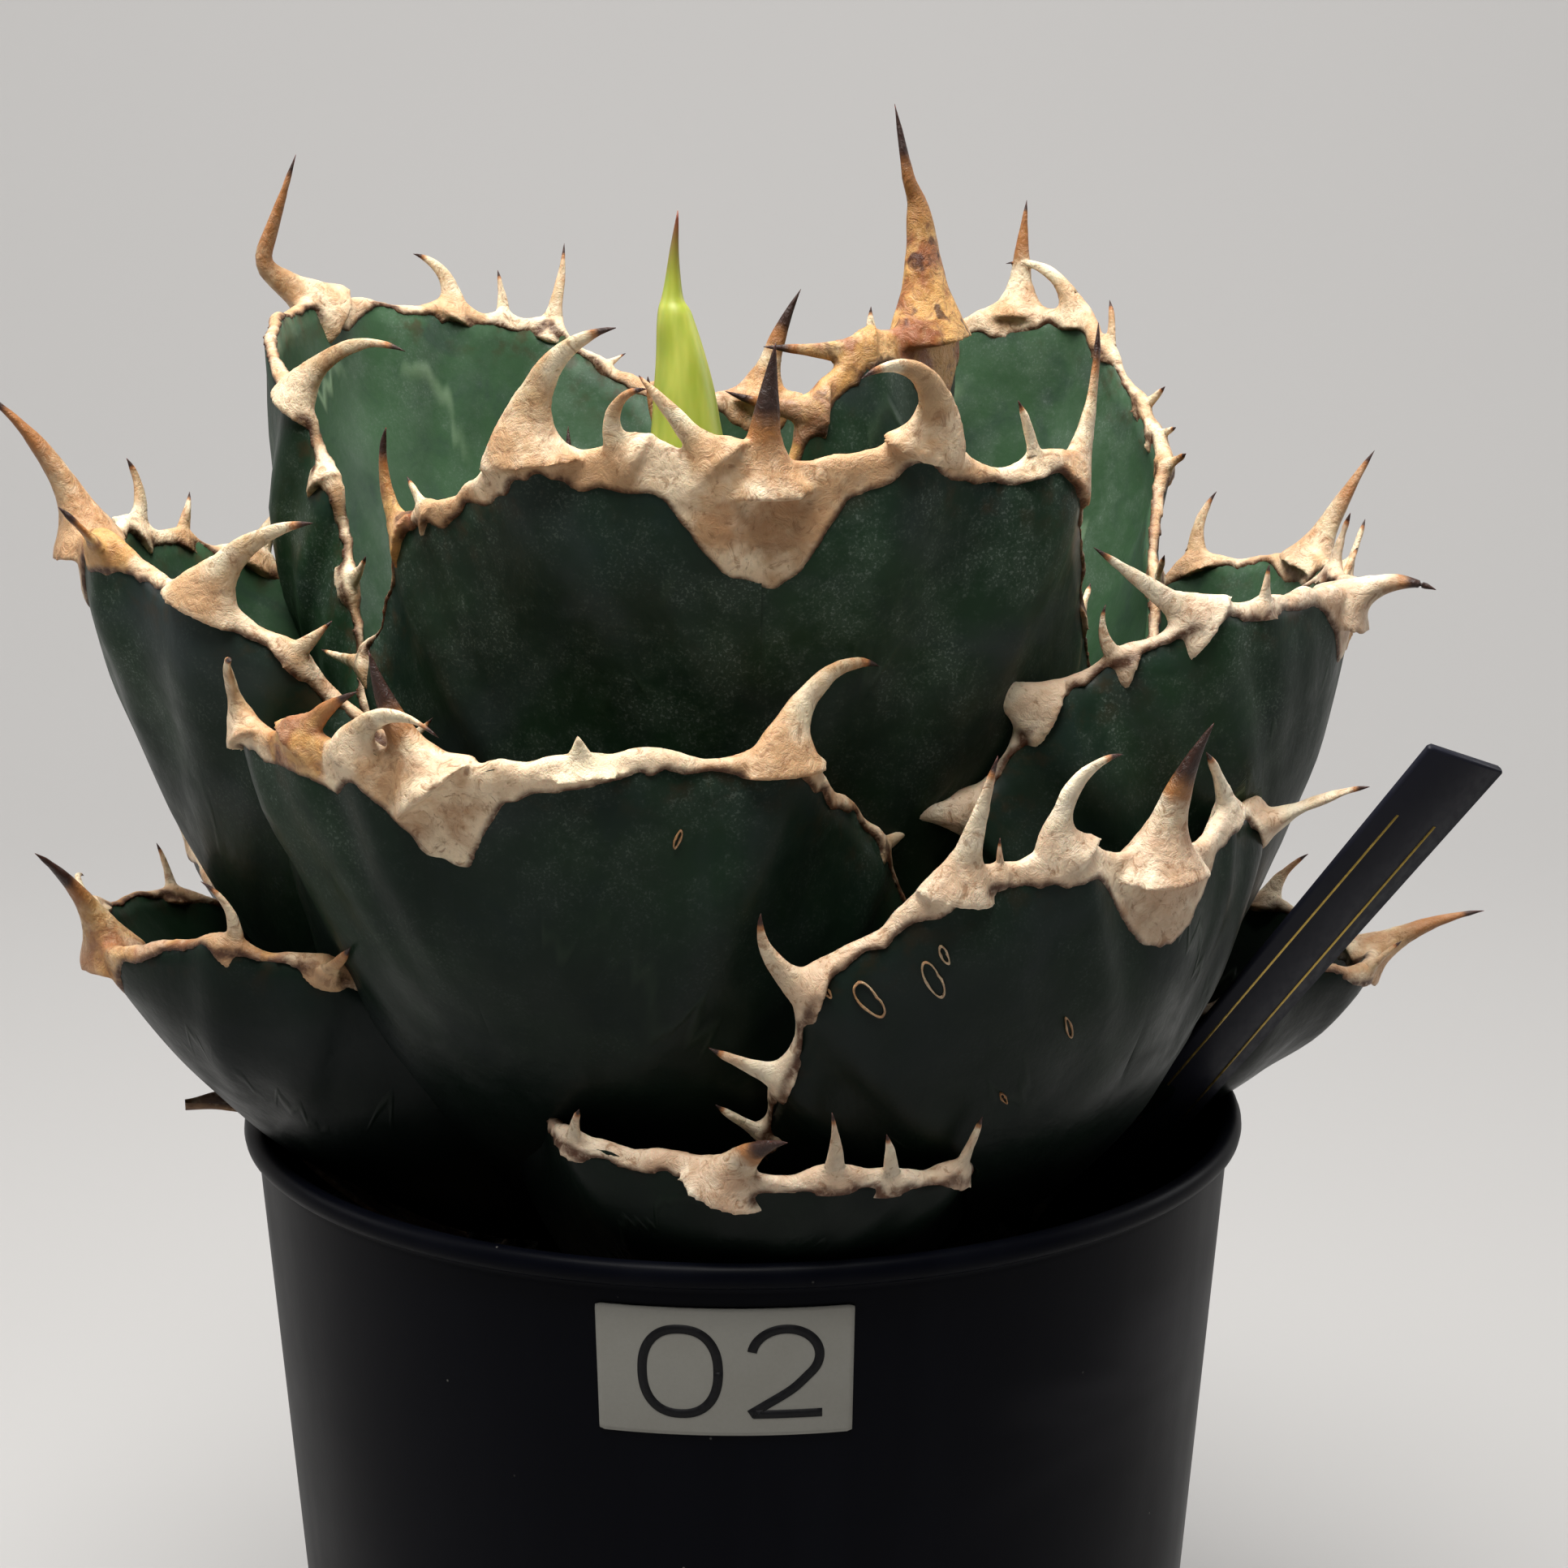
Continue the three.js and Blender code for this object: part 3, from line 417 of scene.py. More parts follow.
def stored(shape: Shape, name: str, finish: "Finish", slot: str, *nodes: str) -> bpy.types.Object:
    """Stores a shape as a piece of the object.

    Args:
        shape: what to store.
        name: the piece's name.
        finish: its finish.
        slot: the record's material slot; not used.
        *nodes: the solids that it stands for.

    Returns:
        The new object, riding on the root body.
    """
    piece = linked(name, shape.to_mesh(name))
    piece.data.materials.append(finish.material())
    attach(piece, ROOT)
    if nodes:
        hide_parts(*nodes)
    log.info("%s: %d faces", name, len(shape.faces))
    return piece


# Finishes


class Graph:
    """Lays out a material's nodes with short calls."""

    def __init__(self, name: str) -> None:
        """Makes an empty material with a principled shader.

        Args:
            name: the material's name.
        """
        self.material = bpy.data.materials.new(name)
        self.material.use_nodes = True
        self.tree = self.material.node_tree
        self.tree.nodes.clear()
        self.shader = self.tree.nodes.new("ShaderNodeBsdfPrincipled")
        out = self.tree.nodes.new("ShaderNodeOutputMaterial")
        self.tree.links.new(self.shader.outputs[0], out.inputs["Surface"])
        self.place = self.tree.nodes.new("ShaderNodeTexCoord").outputs["Object"]

    def _set(self, socket: bpy.types.NodeSocket, value: object) -> None:
        """Links an output or stores a plain value.

        Args:
            socket: the input to fill.
            value: another node's output, a number, a colour or a vector.
        """
        if isinstance(value, bpy.types.NodeSocket):
            self.tree.links.new(value, socket)
        elif isinstance(value, tuple) and len(value) == 3 and socket.type == "RGBA":
            socket.default_value = (*value, 1)
        else:
            socket.default_value = value

    def add(self, kind: str, output: int | str, inputs: dict[int | str, object],
            **settings: object) -> object:
        """Adds a node.

        Args:
            kind: its type, without the beginning that all share.
            output: which of its outputs is used.
            inputs: values and other nodes' outputs, by input.
            **settings: the node's own settings.

        Returns:
            The output.
        """
        node = self.tree.nodes.new(f"ShaderNode{kind}")
        for name, setting in settings.items():
            setattr(node, name, setting)
        for name, value in inputs.items():
            self._set(node.inputs[name], value)
        return node.outputs[output]

    def put(self, **values: object) -> None:
        """Sets shader sockets; underscores stand for spaces."""
        for name, value in values.items():
            self._set(self.shader.inputs[name.replace("_", " ")], value)

    def math(self, operation: Operation, *values: object, clamp: bool = False) -> object:
        """Adds a Math node and returns its result."""
        return self.add("Math", 0, dict(enumerate(values)), operation=operation.value, use_clamp=clamp)

    def times(self, a: object, b: object, clamp: bool = False) -> object:
        """Multiplies two values."""
        return self.math(Operation.TIMES, a, b, clamp=clamp)

    def fused(self, a: object, b: object, c: object, clamp: bool = False) -> object:
        """Multiplies two values and adds a third."""
        return self.math(Operation.TIMES_PLUS, a, b, c, clamp=clamp)

    def minus(self, a: object, b: object) -> object:
        """Takes the second value from the first."""
        return self.math(Operation.MINUS, a, b)

    def size(self, value: object) -> object:
        """Drops a value's sign."""
        return self.math(Operation.SIZE, value)

    def span(self, value: object, low: float, high: float, to_low: float = 0.0,
             to_high: float = 1.0) -> object:
        """Maps a value smoothly from one span to another."""
        inputs = {"Value": value, "From Min": low, "From Max": high, "To Min": to_low, "To Max": to_high}
        return self.add("MapRange", 0, inputs, interpolation_type="SMOOTHSTEP")

    def mix(self, share: object, a: object, b: object) -> object:
        """Mixes two colours by the share of the second."""
        return self.add("Mix", 2, {0: share, 6: a, 7: b}, data_type="RGBA")

    def clouds(self, scale: float, detail: float = 3, rough: float = 0.55, place: object = None,
               warp: float = 0.0) -> object:
        """Adds a Noise texture and returns its value."""
        shape = {"Scale": scale, "Detail": detail, "Roughness": rough, "Distortion": warp}
        return self.add("TexNoise", "Fac", {"Vector": place or self.place, **shape})

    def cells(self, scale: float) -> object:
        """Adds a Voronoi texture and returns the distance to its nearest point."""
        return self.add("TexVoronoi", "Distance", {"Vector": self.place, "Scale": scale})

    def layer(self, name: str) -> list[object]:
        """Reads a colour layer of the mesh.

        Args:
            name: the layer's name.

        Returns:
            Its red, green, blue and alpha.
        """
        color = self.add("Attribute", "Color", {}, attribute_name=name)
        split = self.add("SeparateColor", 0, {0: color}).node
        return [*split.outputs[:3], color.node.outputs["Alpha"]]

    def vector(self, x: object, y: object, z: object) -> object:
        """Joins three values in a vector."""
        return self.add("CombineXYZ", 0, {0: x, 1: y, 2: z})

    def stretched(self, x: float, y: float, z: float) -> object:
        """Scales the object's coordinates along each axis."""
        return self.add("Mapping", 0, {"Vector": self.place, "Scale": (x, y, z)})

    def axis(self, axis: Axis) -> object:
        """Reads one of the object's coordinates, in metres."""
        return self.add("SeparateXYZ", axis.value, {0: self.place})

    def relief(self, height: object, depth: float, strength: float = 1.0) -> None:
        """Drives the shader's normal from a height, depth in millimetres."""
        inputs = {"Strength": strength, "Distance": depth * MM, "Height": height}
        self.put(Normal=self.add("Bump", 0, inputs))


class Finish:
    """A surface finish that is made once and shared."""

    name = "finish"

    def material(self) -> bpy.types.Material:
        """Makes the material the first time.

        Returns:
            The material.
        """
        found = bpy.data.materials.get(self.name)
        if found:
            return found
        graph = Graph(self.name)
        self.build(graph)
        return graph.material

    def build(self, g: Graph) -> None:
        """Lays out the nodes."""
        raise NotImplementedError


@dataclass(frozen=True)
class LeafSkin(Finish):
    """Dark waxy leaf skin with a dusting of pale bloom and faint imprint lines; grey wax doubles as a painted
    sheen, and painted shade darkens it and thins its bloom towards the bottom.

    Attributes:
        name: the material's name.
        deep: colour of the outer face.
        fresh: colour of the lighter inner face.
        bloom: colour of the waxy dust.
        cool: the bluer patches.
        imprint: the lines that a neighbour's margin left.
        wax_and_sheen: the thin grey wax, which also serves as a painted sheen.
        stain: the browned rim.
        shade: the painted shade that darkens the leaf towards the bottom.
        dust: how much dust there is, from 0 to 1.
    """

    name: str = "leaf_skin"
    deep: Color = (0.0105, 0.0225, 0.015)
    fresh: Color = (0.024, 0.064, 0.025)
    bloom: Color = (0.24, 0.29, 0.25)
    cool: Color = (0.011, 0.024, 0.022)
    imprint: Color = (0.19, 0.28, 0.16)
    wax_and_sheen: Color = (0.038, 0.049, 0.05)
    stain: Color = (0.045, 0.03, 0.014)
    shade: Color = (0.0012, 0.0022, 0.0022)
    dust: float = 0.75

    def build(self, g: Graph) -> None:
        """Lays out the nodes; the skin layer holds margin place, spoke place, face and youth.

        Args:
            g: the material's graph.
        """
        at, out, inner, young = g.layer("skin")
        broad = g.clouds(38, 3, 0.6)
        patch = g.clouds(95, 4, 0.62, warp=0.6)
        lush = g.fused(g.span(broad, 0.42, 0.7), 0.45, g.times(inner, 0.75))
        lush = g.fused(young, 0.5, lush, clamp=True)
        base = g.mix(lush, self.deep, self.fresh)
        base = g.mix(g.span(patch, 0.5, 0.75, 0, 0.55), base, self.cool)
        # The marks that a neighbour's toothed margin left while the leaf was furled.
        wander = g.clouds(1.0, 3, 0.55, g.vector(g.times(at, 9.0), 3.7, young))
        line = g.size(g.minus(out, g.span(wander, 0.3, 0.7, 0.45, 0.84)))
        soft = g.times(g.span(line, 0.0, 0.04, 1, 0), g.span(g.clouds(60, 2), 0.42, 0.62))
        base = g.mix(g.times(soft, g.span(inner, 0.2, 0.9, 0.1, 0.75)), base, self.imprint)
        fine = g.span(g.clouds(3200, 2, 0.6), 0.53, 0.66)
        streak = g.clouds(150, 4, 0.6, g.stretched(1, 1, 0.2))
        cloud = g.times(g.span(g.clouds(180, 5, 0.7), 0.4, 0.66), g.span(broad, 0.3, 0.62, 0.2, 1))
        speck = g.times(g.times(fine, cloud), g.span(inner, 0.3, 0.8, 1.0, 0.4))
        height = g.axis(Axis.Z)
        # The pale bloom is real dust, but it thins out towards the bottom as painted shade over the low parts.
        high = g.span(height, 0.125, 0.175, 0.2, 1.0)
        bloom_and_shade = g.fused(speck, 0.52, g.times(cloud, 0.12))
        bloom_and_shade = g.fused(inner, 0.06, bloom_and_shade)
        bloom_and_shade = g.times(bloom_and_shade, high)
        base = g.mix(g.times(bloom_and_shade, self.dust, clamp=True), base, self.bloom)
        # Grey wax patches on the outer faces, partly real wax and partly a painted sheen.
        wax_and_sheen = g.times(g.span(g.clouds(31, 3, 0.5, warp=1.0), 0.5, 0.7), g.span(inner, 0.2, 0.8, 0.6, 0.25))
        base = g.mix(wax_and_sheen, base, self.wax_and_sheen)
        stain = g.times(g.span(out, 0.86, 1.0), g.span(g.clouds(320, 3), 0.5, 0.7, 0, 0.7))
        base = g.mix(stain, base, self.stain)
        # Painted shade: the skin darkens towards the bottom of the rosette.
        base = g.mix(g.span(height, 0.1, 0.182, 0.96, 0.0), base, self.shade)
        rough = g.fused(g.minus(streak, 0.5), 0.3, g.span(patch, 0.3, 0.7, 0.33, 0.5))
        g.put(Base_Color=base, Roughness=rough, Specular_IOR_Level=0.115)
        bumps = g.fused(g.clouds(420, 4, 0.6), 0.6, g.times(soft, 0.8))
        g.relief(g.fused(streak, 0.9, bumps), 0.22, 0.6)


@dataclass(frozen=True)
class CorkHorn(Finish):
    """Dry corky margin that hardens into horny teeth with brown tips.

    Attributes:
        name: the material's name.
        pale: the lightest cream.
        tan: the deeper cream.
        rust: the orange-brown of scorched stretches.
        tip: the dark brown of the points.
        grain: the deeper grain.
        bleached: the whitened stretches.
        amber: the warmer horn of scorched leaves.
        burnt: the darkest horn of scorched leaves.
        spot: the dark spots on them.
        wrinkle: the brown in the wrinkles.
        border: the brown line against the green.
    """

    name: str = "cork_horn"
    pale: Color = (0.88, 0.69, 0.46)
    tan: Color = (0.56, 0.32, 0.145)
    rust: Color = (0.33, 0.125, 0.032)
    tip: Color = (0.036, 0.014, 0.009)
    grain: Color = (0.36, 0.23, 0.12)
    bleached: Color = (0.86, 0.79, 0.67)
    amber: Color = (0.66, 0.36, 0.11)
    burnt: Color = (0.27, 0.08, 0.025)
    spot: Color = (0.06, 0.02, 0.012)
    wrinkle: Color = (0.28, 0.13, 0.05)
    border: Color = (0.085, 0.032, 0.012)

    def build(self, g: Graph) -> None:
        """Lays out the nodes; the horn layer holds tip, border, rust and paleness.

        Args:
            g: the material's graph.
        """
        tip, border, rust, pale = g.layer("horn")
        broad = g.clouds(120, 4, 0.6)
        grain = g.clouds(900, 4, 0.65, warp=0.4)
        base = g.mix(g.span(broad, 0.4, 0.6), self.pale, self.tan)
        base = g.mix(g.span(grain, 0.52, 0.75, 0, 0.4), base, self.grain)
        base = g.mix(g.times(pale, 0.75), base, self.bleached)
        scorch = g.times(rust, g.span(g.clouds(230, 4, 0.6, warp=0.5), 0.4, 0.62))
        base = g.mix(g.times(scorch, 0.9), base, self.rust)
        honey = g.span(rust, 0.7, 1.0)
        amber = g.mix(g.span(g.clouds(190, 3, warp=0.6), 0.42, 0.6), self.amber, self.burnt)
        base = g.mix(g.times(honey, 0.85), base, amber)
        spots = g.times(g.span(g.clouds(360, 2), 0.6, 0.68), honey)
        base = g.mix(g.times(spots, 0.85), base, self.spot)
        wrinkle = g.clouds(520, 5, 0.7, warp=1.6)
        base = g.mix(g.span(wrinkle, 0.53, 0.66, 0, 0.65), base, self.wrinkle)
        rim = g.times(border, g.span(grain, 0.3, 0.55, 0.6, 1))
        base = g.mix(rim, base, self.border)
        streak = g.fused(g.minus(broad, 0.5), 0.7, tip)
        base = g.mix(g.span(streak, 0.16, 0.5, 0, 0.92), base, self.rust)
        base = g.mix(g.span(streak, 0.5, 0.86, 0, 1), base, self.tip)
        g.put(Base_Color=base, Roughness=g.span(grain, 0.3, 0.7, 0.36, 0.58), Specular_IOR_Level=0.4,
              Subsurface_Weight=0.12, Subsurface_Scale=0.0012)
        bumps = g.fused(wrinkle, -0.9, g.times(broad, 0.8))
        g.relief(g.fused(grain, 0.5, bumps), 0.4, 0.9)


@dataclass(frozen=True)
class PotPlastic(Finish):
    """Near-black moulded plastic with faint upright streaks, a painted reflection in soft upright streaks on
    its right side, and a little dust.
    """

    name: str = "pot_satin"
    black: Color = (0.0013, 0.0016, 0.0034)
    streaked: Color = (0.0035, 0.004, 0.0065)
    painted_reflection: Color = (0.02, 0.02, 0.024)
    dust: Color = (0.22, 0.21, 0.19)

    def build(self, g: Graph) -> None:
        """Lays out the nodes.

        Args:
            g: the material's graph.
        """
        streak = g.clouds(70, 3, 0.6, g.stretched(1, 1, 0.12))
        mist = g.clouds(45, 4, 0.6)
        motes = g.span(g.cells(260), 0.02, 0.045, 1, 0)
        rare = g.times(motes, g.span(g.clouds(90, 2), 0.55, 0.66))
        base = g.mix(g.span(streak, 0.4, 0.75, 0, 0.45), self.black, self.streaked)
        # Painted reflection: soft lighter upright streaks on the pot's right side only.
        painted_reflection = g.span(g.clouds(42, 2, 0.5, g.stretched(0.5, 0.5, 1.5), 0.5), 0.46, 0.7)
        base = g.mix(g.times(painted_reflection, g.span(g.axis(Axis.X), 0.018, 0.05, 0, 0.55)), base, self.painted_reflection)
        base = g.mix(g.times(rare, 0.55), base, self.dust)
        rough = g.fused(g.minus(streak, 0.5), 0.22,
                       g.fused(mist, 0.18, 0.33))
        g.put(Base_Color=base, Roughness=rough, Specular_IOR_Level=0.045)
        g.relief(g.fused(g.clouds(1800, 2), 0.3, g.clouds(130, 2, 0.5, g.stretched(1, 1, 0.3))),
                 0.07, 0.35)


@dataclass(frozen=True)
class StickerPaper(Finish):
    """Matt cream sticker paper, its colours darkened as painted shade."""

    name: str = "sticker_paper"
    # The paper's colours are kept dark as painted shade over the sticker.
    cream: Color = (0.26, 0.255, 0.228)
    aged: Color = (0.225, 0.215, 0.185)
    fibre: Color = (0.2, 0.195, 0.175)

    def build(self, g: Graph) -> None:
        """Lays out the nodes.

        Args:
            g: the material's graph.
        """
        fibre = g.clouds(2600, 3, 0.6)
        base = g.mix(g.span(g.clouds(140, 3), 0.4, 0.7, 0, 0.3), self.cream, self.aged)
        g.put(Base_Color=g.mix(g.span(fibre, 0.3, 0.7, 0, 0.12), base, self.fibre),
              Roughness=g.span(fibre, 0.3, 0.7, 0.5, 0.66), Specular_IOR_Level=0.2)
        g.relief(fibre, 0.03, 0.4)


@dataclass(frozen=True)
class Ink(Finish):
    """Printed ink with a slightly uneven edge of density.

    Attributes:
        name: the material's name.
        color: the ink.
        metal: how metallic it is.
        shine: its roughness.
    """

    name: str = "black_ink"
    color: Color = (0.005, 0.005, 0.006)
    metal: float = 0.0
    shine: float = 0.5

    def build(self, g: Graph) -> None:
        """Lays out the nodes.

        Args:
            g: the material's graph.
        """
        worn = g.clouds(1500, 3, 0.6)
        paler = tuple(min(1.0, 1.7 * c + 0.004) for c in self.color)
        g.put(Base_Color=g.mix(g.span(worn, 0.45, 0.7, 0, 0.5), self.color, paler), Metallic=self.metal,
              Roughness=g.span(worn, 0.3, 0.7, self.shine - 0.08, self.shine + 0.1), Specular_IOR_Level=0.15)


@dataclass(frozen=True)
class LabelPlastic(Finish):
    """Dark grey plastic strip with a fine brushed texture."""

    name: str = "label_satin"
    grey: Color = (0.0085, 0.009, 0.015)
    worn: Color = (0.014, 0.015, 0.022)

    def build(self, g: Graph) -> None:
        """Lays out the nodes.

        Args:
            g: the material's graph.
        """
        fine = g.clouds(1300, 3, 0.6, g.stretched(1, 1, 0.25))
        base = g.mix(g.span(g.clouds(60, 3), 0.4, 0.7, 0, 0.5), self.grey, self.worn)
        g.put(Base_Color=base, Roughness=g.span(fine, 0.3, 0.7, 0.36, 0.52), Specular_IOR_Level=0.13)
        g.relief(fine, 0.03, 0.35)


@dataclass(frozen=True)
class SoilGrain(Finish):
    """Damp dark potting mix with lighter mineral grains."""

    name: str = "soil_grain"
    wet: Color = (0.012, 0.009, 0.006)
    dry: Color = (0.055, 0.036, 0.022)
    mineral: Color = (0.16, 0.11, 0.065)

    def build(self, g: Graph) -> None:
        """Lays out the nodes.

        Args:
            g: the material's graph.
        """
        lump = g.clouds(420, 5, 0.65)
        kind = g.clouds(230, 1, 0.5)
        base = g.mix(g.span(lump, 0.35, 0.7), self.wet, self.dry)
        base = g.mix(g.span(kind, 0.6, 0.66, 0, 0.8), base, self.mineral)
        g.put(Base_Color=base, Roughness=g.span(lump, 0.3, 0.7, 0.85, 0.98))
        g.relief(lump, 0.6, 0.9)


@dataclass(frozen=True)
class BudSkin(Finish):
    """Fresh yellow-green furled leaf that browns at its point."""

    name: str = "bud_skin"
    green: Color = (0.3, 0.37, 0.035)
    yellow: Color = (0.5, 0.53, 0.09)
    foot: Color = (0.2, 0.33, 0.04)
    lap: Color = (0.74, 0.72, 0.25)
    point: Color = (0.11, 0.035, 0.014)

    def build(self, g: Graph) -> None:
        """Lays out the nodes; the skin layer holds the height share and the lap.

        Args:
            g: the material's graph.
        """
        up, seam, _, _ = g.layer("skin")
        vein = g.clouds(260, 3, 0.6, g.stretched(1, 1, 0.14))
        base = g.mix(g.span(vein, 0.35, 0.7), self.green, self.yellow)
        base = g.mix(g.span(up, 0.0, 0.35, 0.6, 0), base, self.foot)
        base = g.mix(g.times(seam, 0.5), base, self.lap)
        base = g.mix(g.span(up, 0.86, 0.99), base, self.point)
        g.put(Base_Color=base, Roughness=g.span(vein, 0.3, 0.7, 0.38, 0.5), Subsurface_Weight=0.25,
              Subsurface_Scale=0.003)
        g.relief(vein, 0.15, 0.5)


@dataclass(frozen=True)
class DrySkin(Finish):
    """Papery brown skin of a dead leaf."""

    name: str = "dry_skin"
    dark: Color = (0.075, 0.032, 0.016)
    light: Color = (0.26, 0.15, 0.08)
    fleck: Color = (0.4, 0.3, 0.2)

    def build(self, g: Graph) -> None:
        """Lays out the nodes.

        Args:
            g: the material's graph.
        """
        fold = g.clouds(300, 4, 0.65, g.stretched(0.4, 1, 1))
        base = g.mix(g.span(fold, 0.35, 0.65), self.dark, self.light)
        base = g.mix(g.span(g.clouds(900, 3), 0.55, 0.7, 0, 0.5), base, self.fleck)
        g.put(Base_Color=base, Roughness=g.span(fold, 0.3, 0.7, 0.7, 0.9))
        g.relief(fold, 0.5, 0.9)


@dataclass(frozen=True)
class StemBark(Finish):
    """Pale fibrous skin of the short stem."""

    name: str = "stem_bark"
    green: Color = (0.12, 0.14, 0.06)
    straw: Color = (0.28, 0.26, 0.14)

    def build(self, g: Graph) -> None:
        """Lays out the nodes.

        Args:
            g: the material's graph.
        """
        ring = g.clouds(200, 4, 0.6, g.stretched(0.4, 0.4, 2))
        base = g.mix(g.span(ring, 0.35, 0.65), self.green, self.straw)
        g.put(Base_Color=base, Roughness=g.span(ring, 0.3, 0.7, 0.6, 0.8))
        g.relief(ring, 0.3, 0.7)


@dataclass(frozen=True)
class StudioPaper(Finish):
    """Seamless pale studio paper."""

    name: str = "studio_paper"
    tone: Color = (0.38, 0.373, 0.367)
    cloud: Color = (0.365, 0.358, 0.352)

    def build(self, g: Graph) -> None:
        """Lays out the nodes."""
        base = g.mix(g.span(g.clouds(3, 2), 0.3, 0.7, 0, 0.15), self.tone, self.cloud)
        g.put(Base_Color=base, Roughness=0.9, Specular_IOR_Level=0.1)


# The rosette


@dataclass(frozen=True)
class Tooth:
    """One marginal tooth.

    Attributes:
        side: the margin that carries it.
        at: its place along the margin, 0 at the base and 1 at the tip.
        length: how far it stands out.
        width: its breadth at the root.
        lean: degrees towards the leaf's tip at its root.
        curl: degrees more over its length.
        lift: degrees towards the inner face.
        rust: how brown it is, from 0 to 1, or below 0 for a tooth without a dark point.
    """

    side: Side
    at: float
    length: float
    width: float
    lean: float
    curl: float
    lift: float
    rust: float = 0.15


@dataclass(frozen=True)
class Spine:
    """The terminal spine.

    Attributes:
        length: how far it stands past the tip.
        width: its breadth at the root.
        lean: degrees towards the right margin at its root.
        curl: degrees more over its length.
        lift: degrees towards the inner face.
        hook: degrees of lift more over its length.
        kink: millimetres that its middle steps aside.
        dark: share of its length that is dark.
        bend: how abruptly it curls, from 0 to 1.
    """

    length: float
    width: float
    lean: float
    curl: float
    lift: float
    hook: float
    kink: float = 0.0
    dark: float = 0.5
    bend: float = 0.0


@dataclass(frozen=True)
class Scar:
    """One corky ring on a blade.

    Attributes:
        side: the half of the leaf.
        at: its place along the margin.
        out: its place on the spoke.
        radius: its size.
    """

    side: Side
    at: float
    out: float
    radius: float


left = partial(Tooth, Side.LEFT)
right = partial(Tooth, Side.RIGHT)


@dataclass(frozen=True)
class LeafPlan:
    """The sizes of one leaf.

    Attributes:
        name: its name among the solids.
        azimuth: degrees, 0 at the front and 90 at the right.
        base: radius and height of the midrib's foot.
        belly: the point that bends the midrib.
        tip: radius and height of the midrib's end.
        width: breadth across the face.
        cup: radius of the cross section.
        shoulder: where along the midrib it is widest.
        blunt: how full the end of the outline is.
        corner: how square the end of the outline is.
        roll: degrees of twist at the tip.
        sway: millimetres that the tip stands to the right.
        thick: thickness at the foot.
        cork: breadth of the cork margin.
        bib: how far the cork runs down below the spine.
        spine: the terminal spine.
        teeth: the marginal teeth.
        rust: how brown the cork is, from 0 to 1.
        young: how fresh the green is, from 0 to 1.
        pale: how white the cork is, from 0 to 1.
        scars: corky rings on its outer face.
        voxel: grain of the cork's mesh.
    """

    name: str
    azimuth: float
    base: tuple[float, float]
    belly: tuple[float, float]
    tip: tuple[float, float]
    width: float
    cup: float
    shoulder: float
    blunt: float
    corner: float
    roll: float
    sway: float
    thick: float
    cork: float
    bib: float
    spine: Spine
    teeth: tuple[Tooth, ...]
    rust: float = 0.3
    young: float = 0.1
    pale: float = 0.1
    scars: tuple[Scar, ...] = ()
    voxel: float = 0.5


@dataclass
class Net:
    """Places on a leaf with their directions."""

    place: Array
    inner: Array
    out: Array
    to_tip: Array


@dataclass(frozen=True)
class Growth:
    """How unevenly the leaves have grown, in millimetres.

    Attributes:
        mound: how far a full-sized tooth pushes the margin out.
        ragged: heights of the margin's coarse and fine unevenness.
        ragged_length: their lengths.
        wave: height of the slow waves along the margin.
        waves: how many of them a margin has.
        swell: height of the swellings across the blade.
        swell_length: lengths of the wide and the narrow swellings.
        fold: depth of the folds below the teeth, as a share of the mound.
        skirt: how far the cork runs down below a tooth, as a share of its breadth.
        jag_length: lengths of the coarse and fine jags of the cork's border.
        lobe: depth of the border's wide lobes.
        lobe_length: their length.
        least_cork: breadth that the cork never goes below.
    """

    mound: float = 2.0
    ragged: tuple[float, float] = (0.6, 0.35)
    ragged_length: tuple[float, float] = (7.0, 2.7)
    wave: float = 0.8
    waves: float = 3.5
    swell: float = 1.25
    swell_length: tuple[float, float] = (18, 8)
    fold: float = 0.55
    skirt: float = 0.27
    jag_length: tuple[float, float] = (2.9, 1.2)
    lobe: float = 1.1
    lobe_length: float = 8.0
    least_cork: float = 0.35


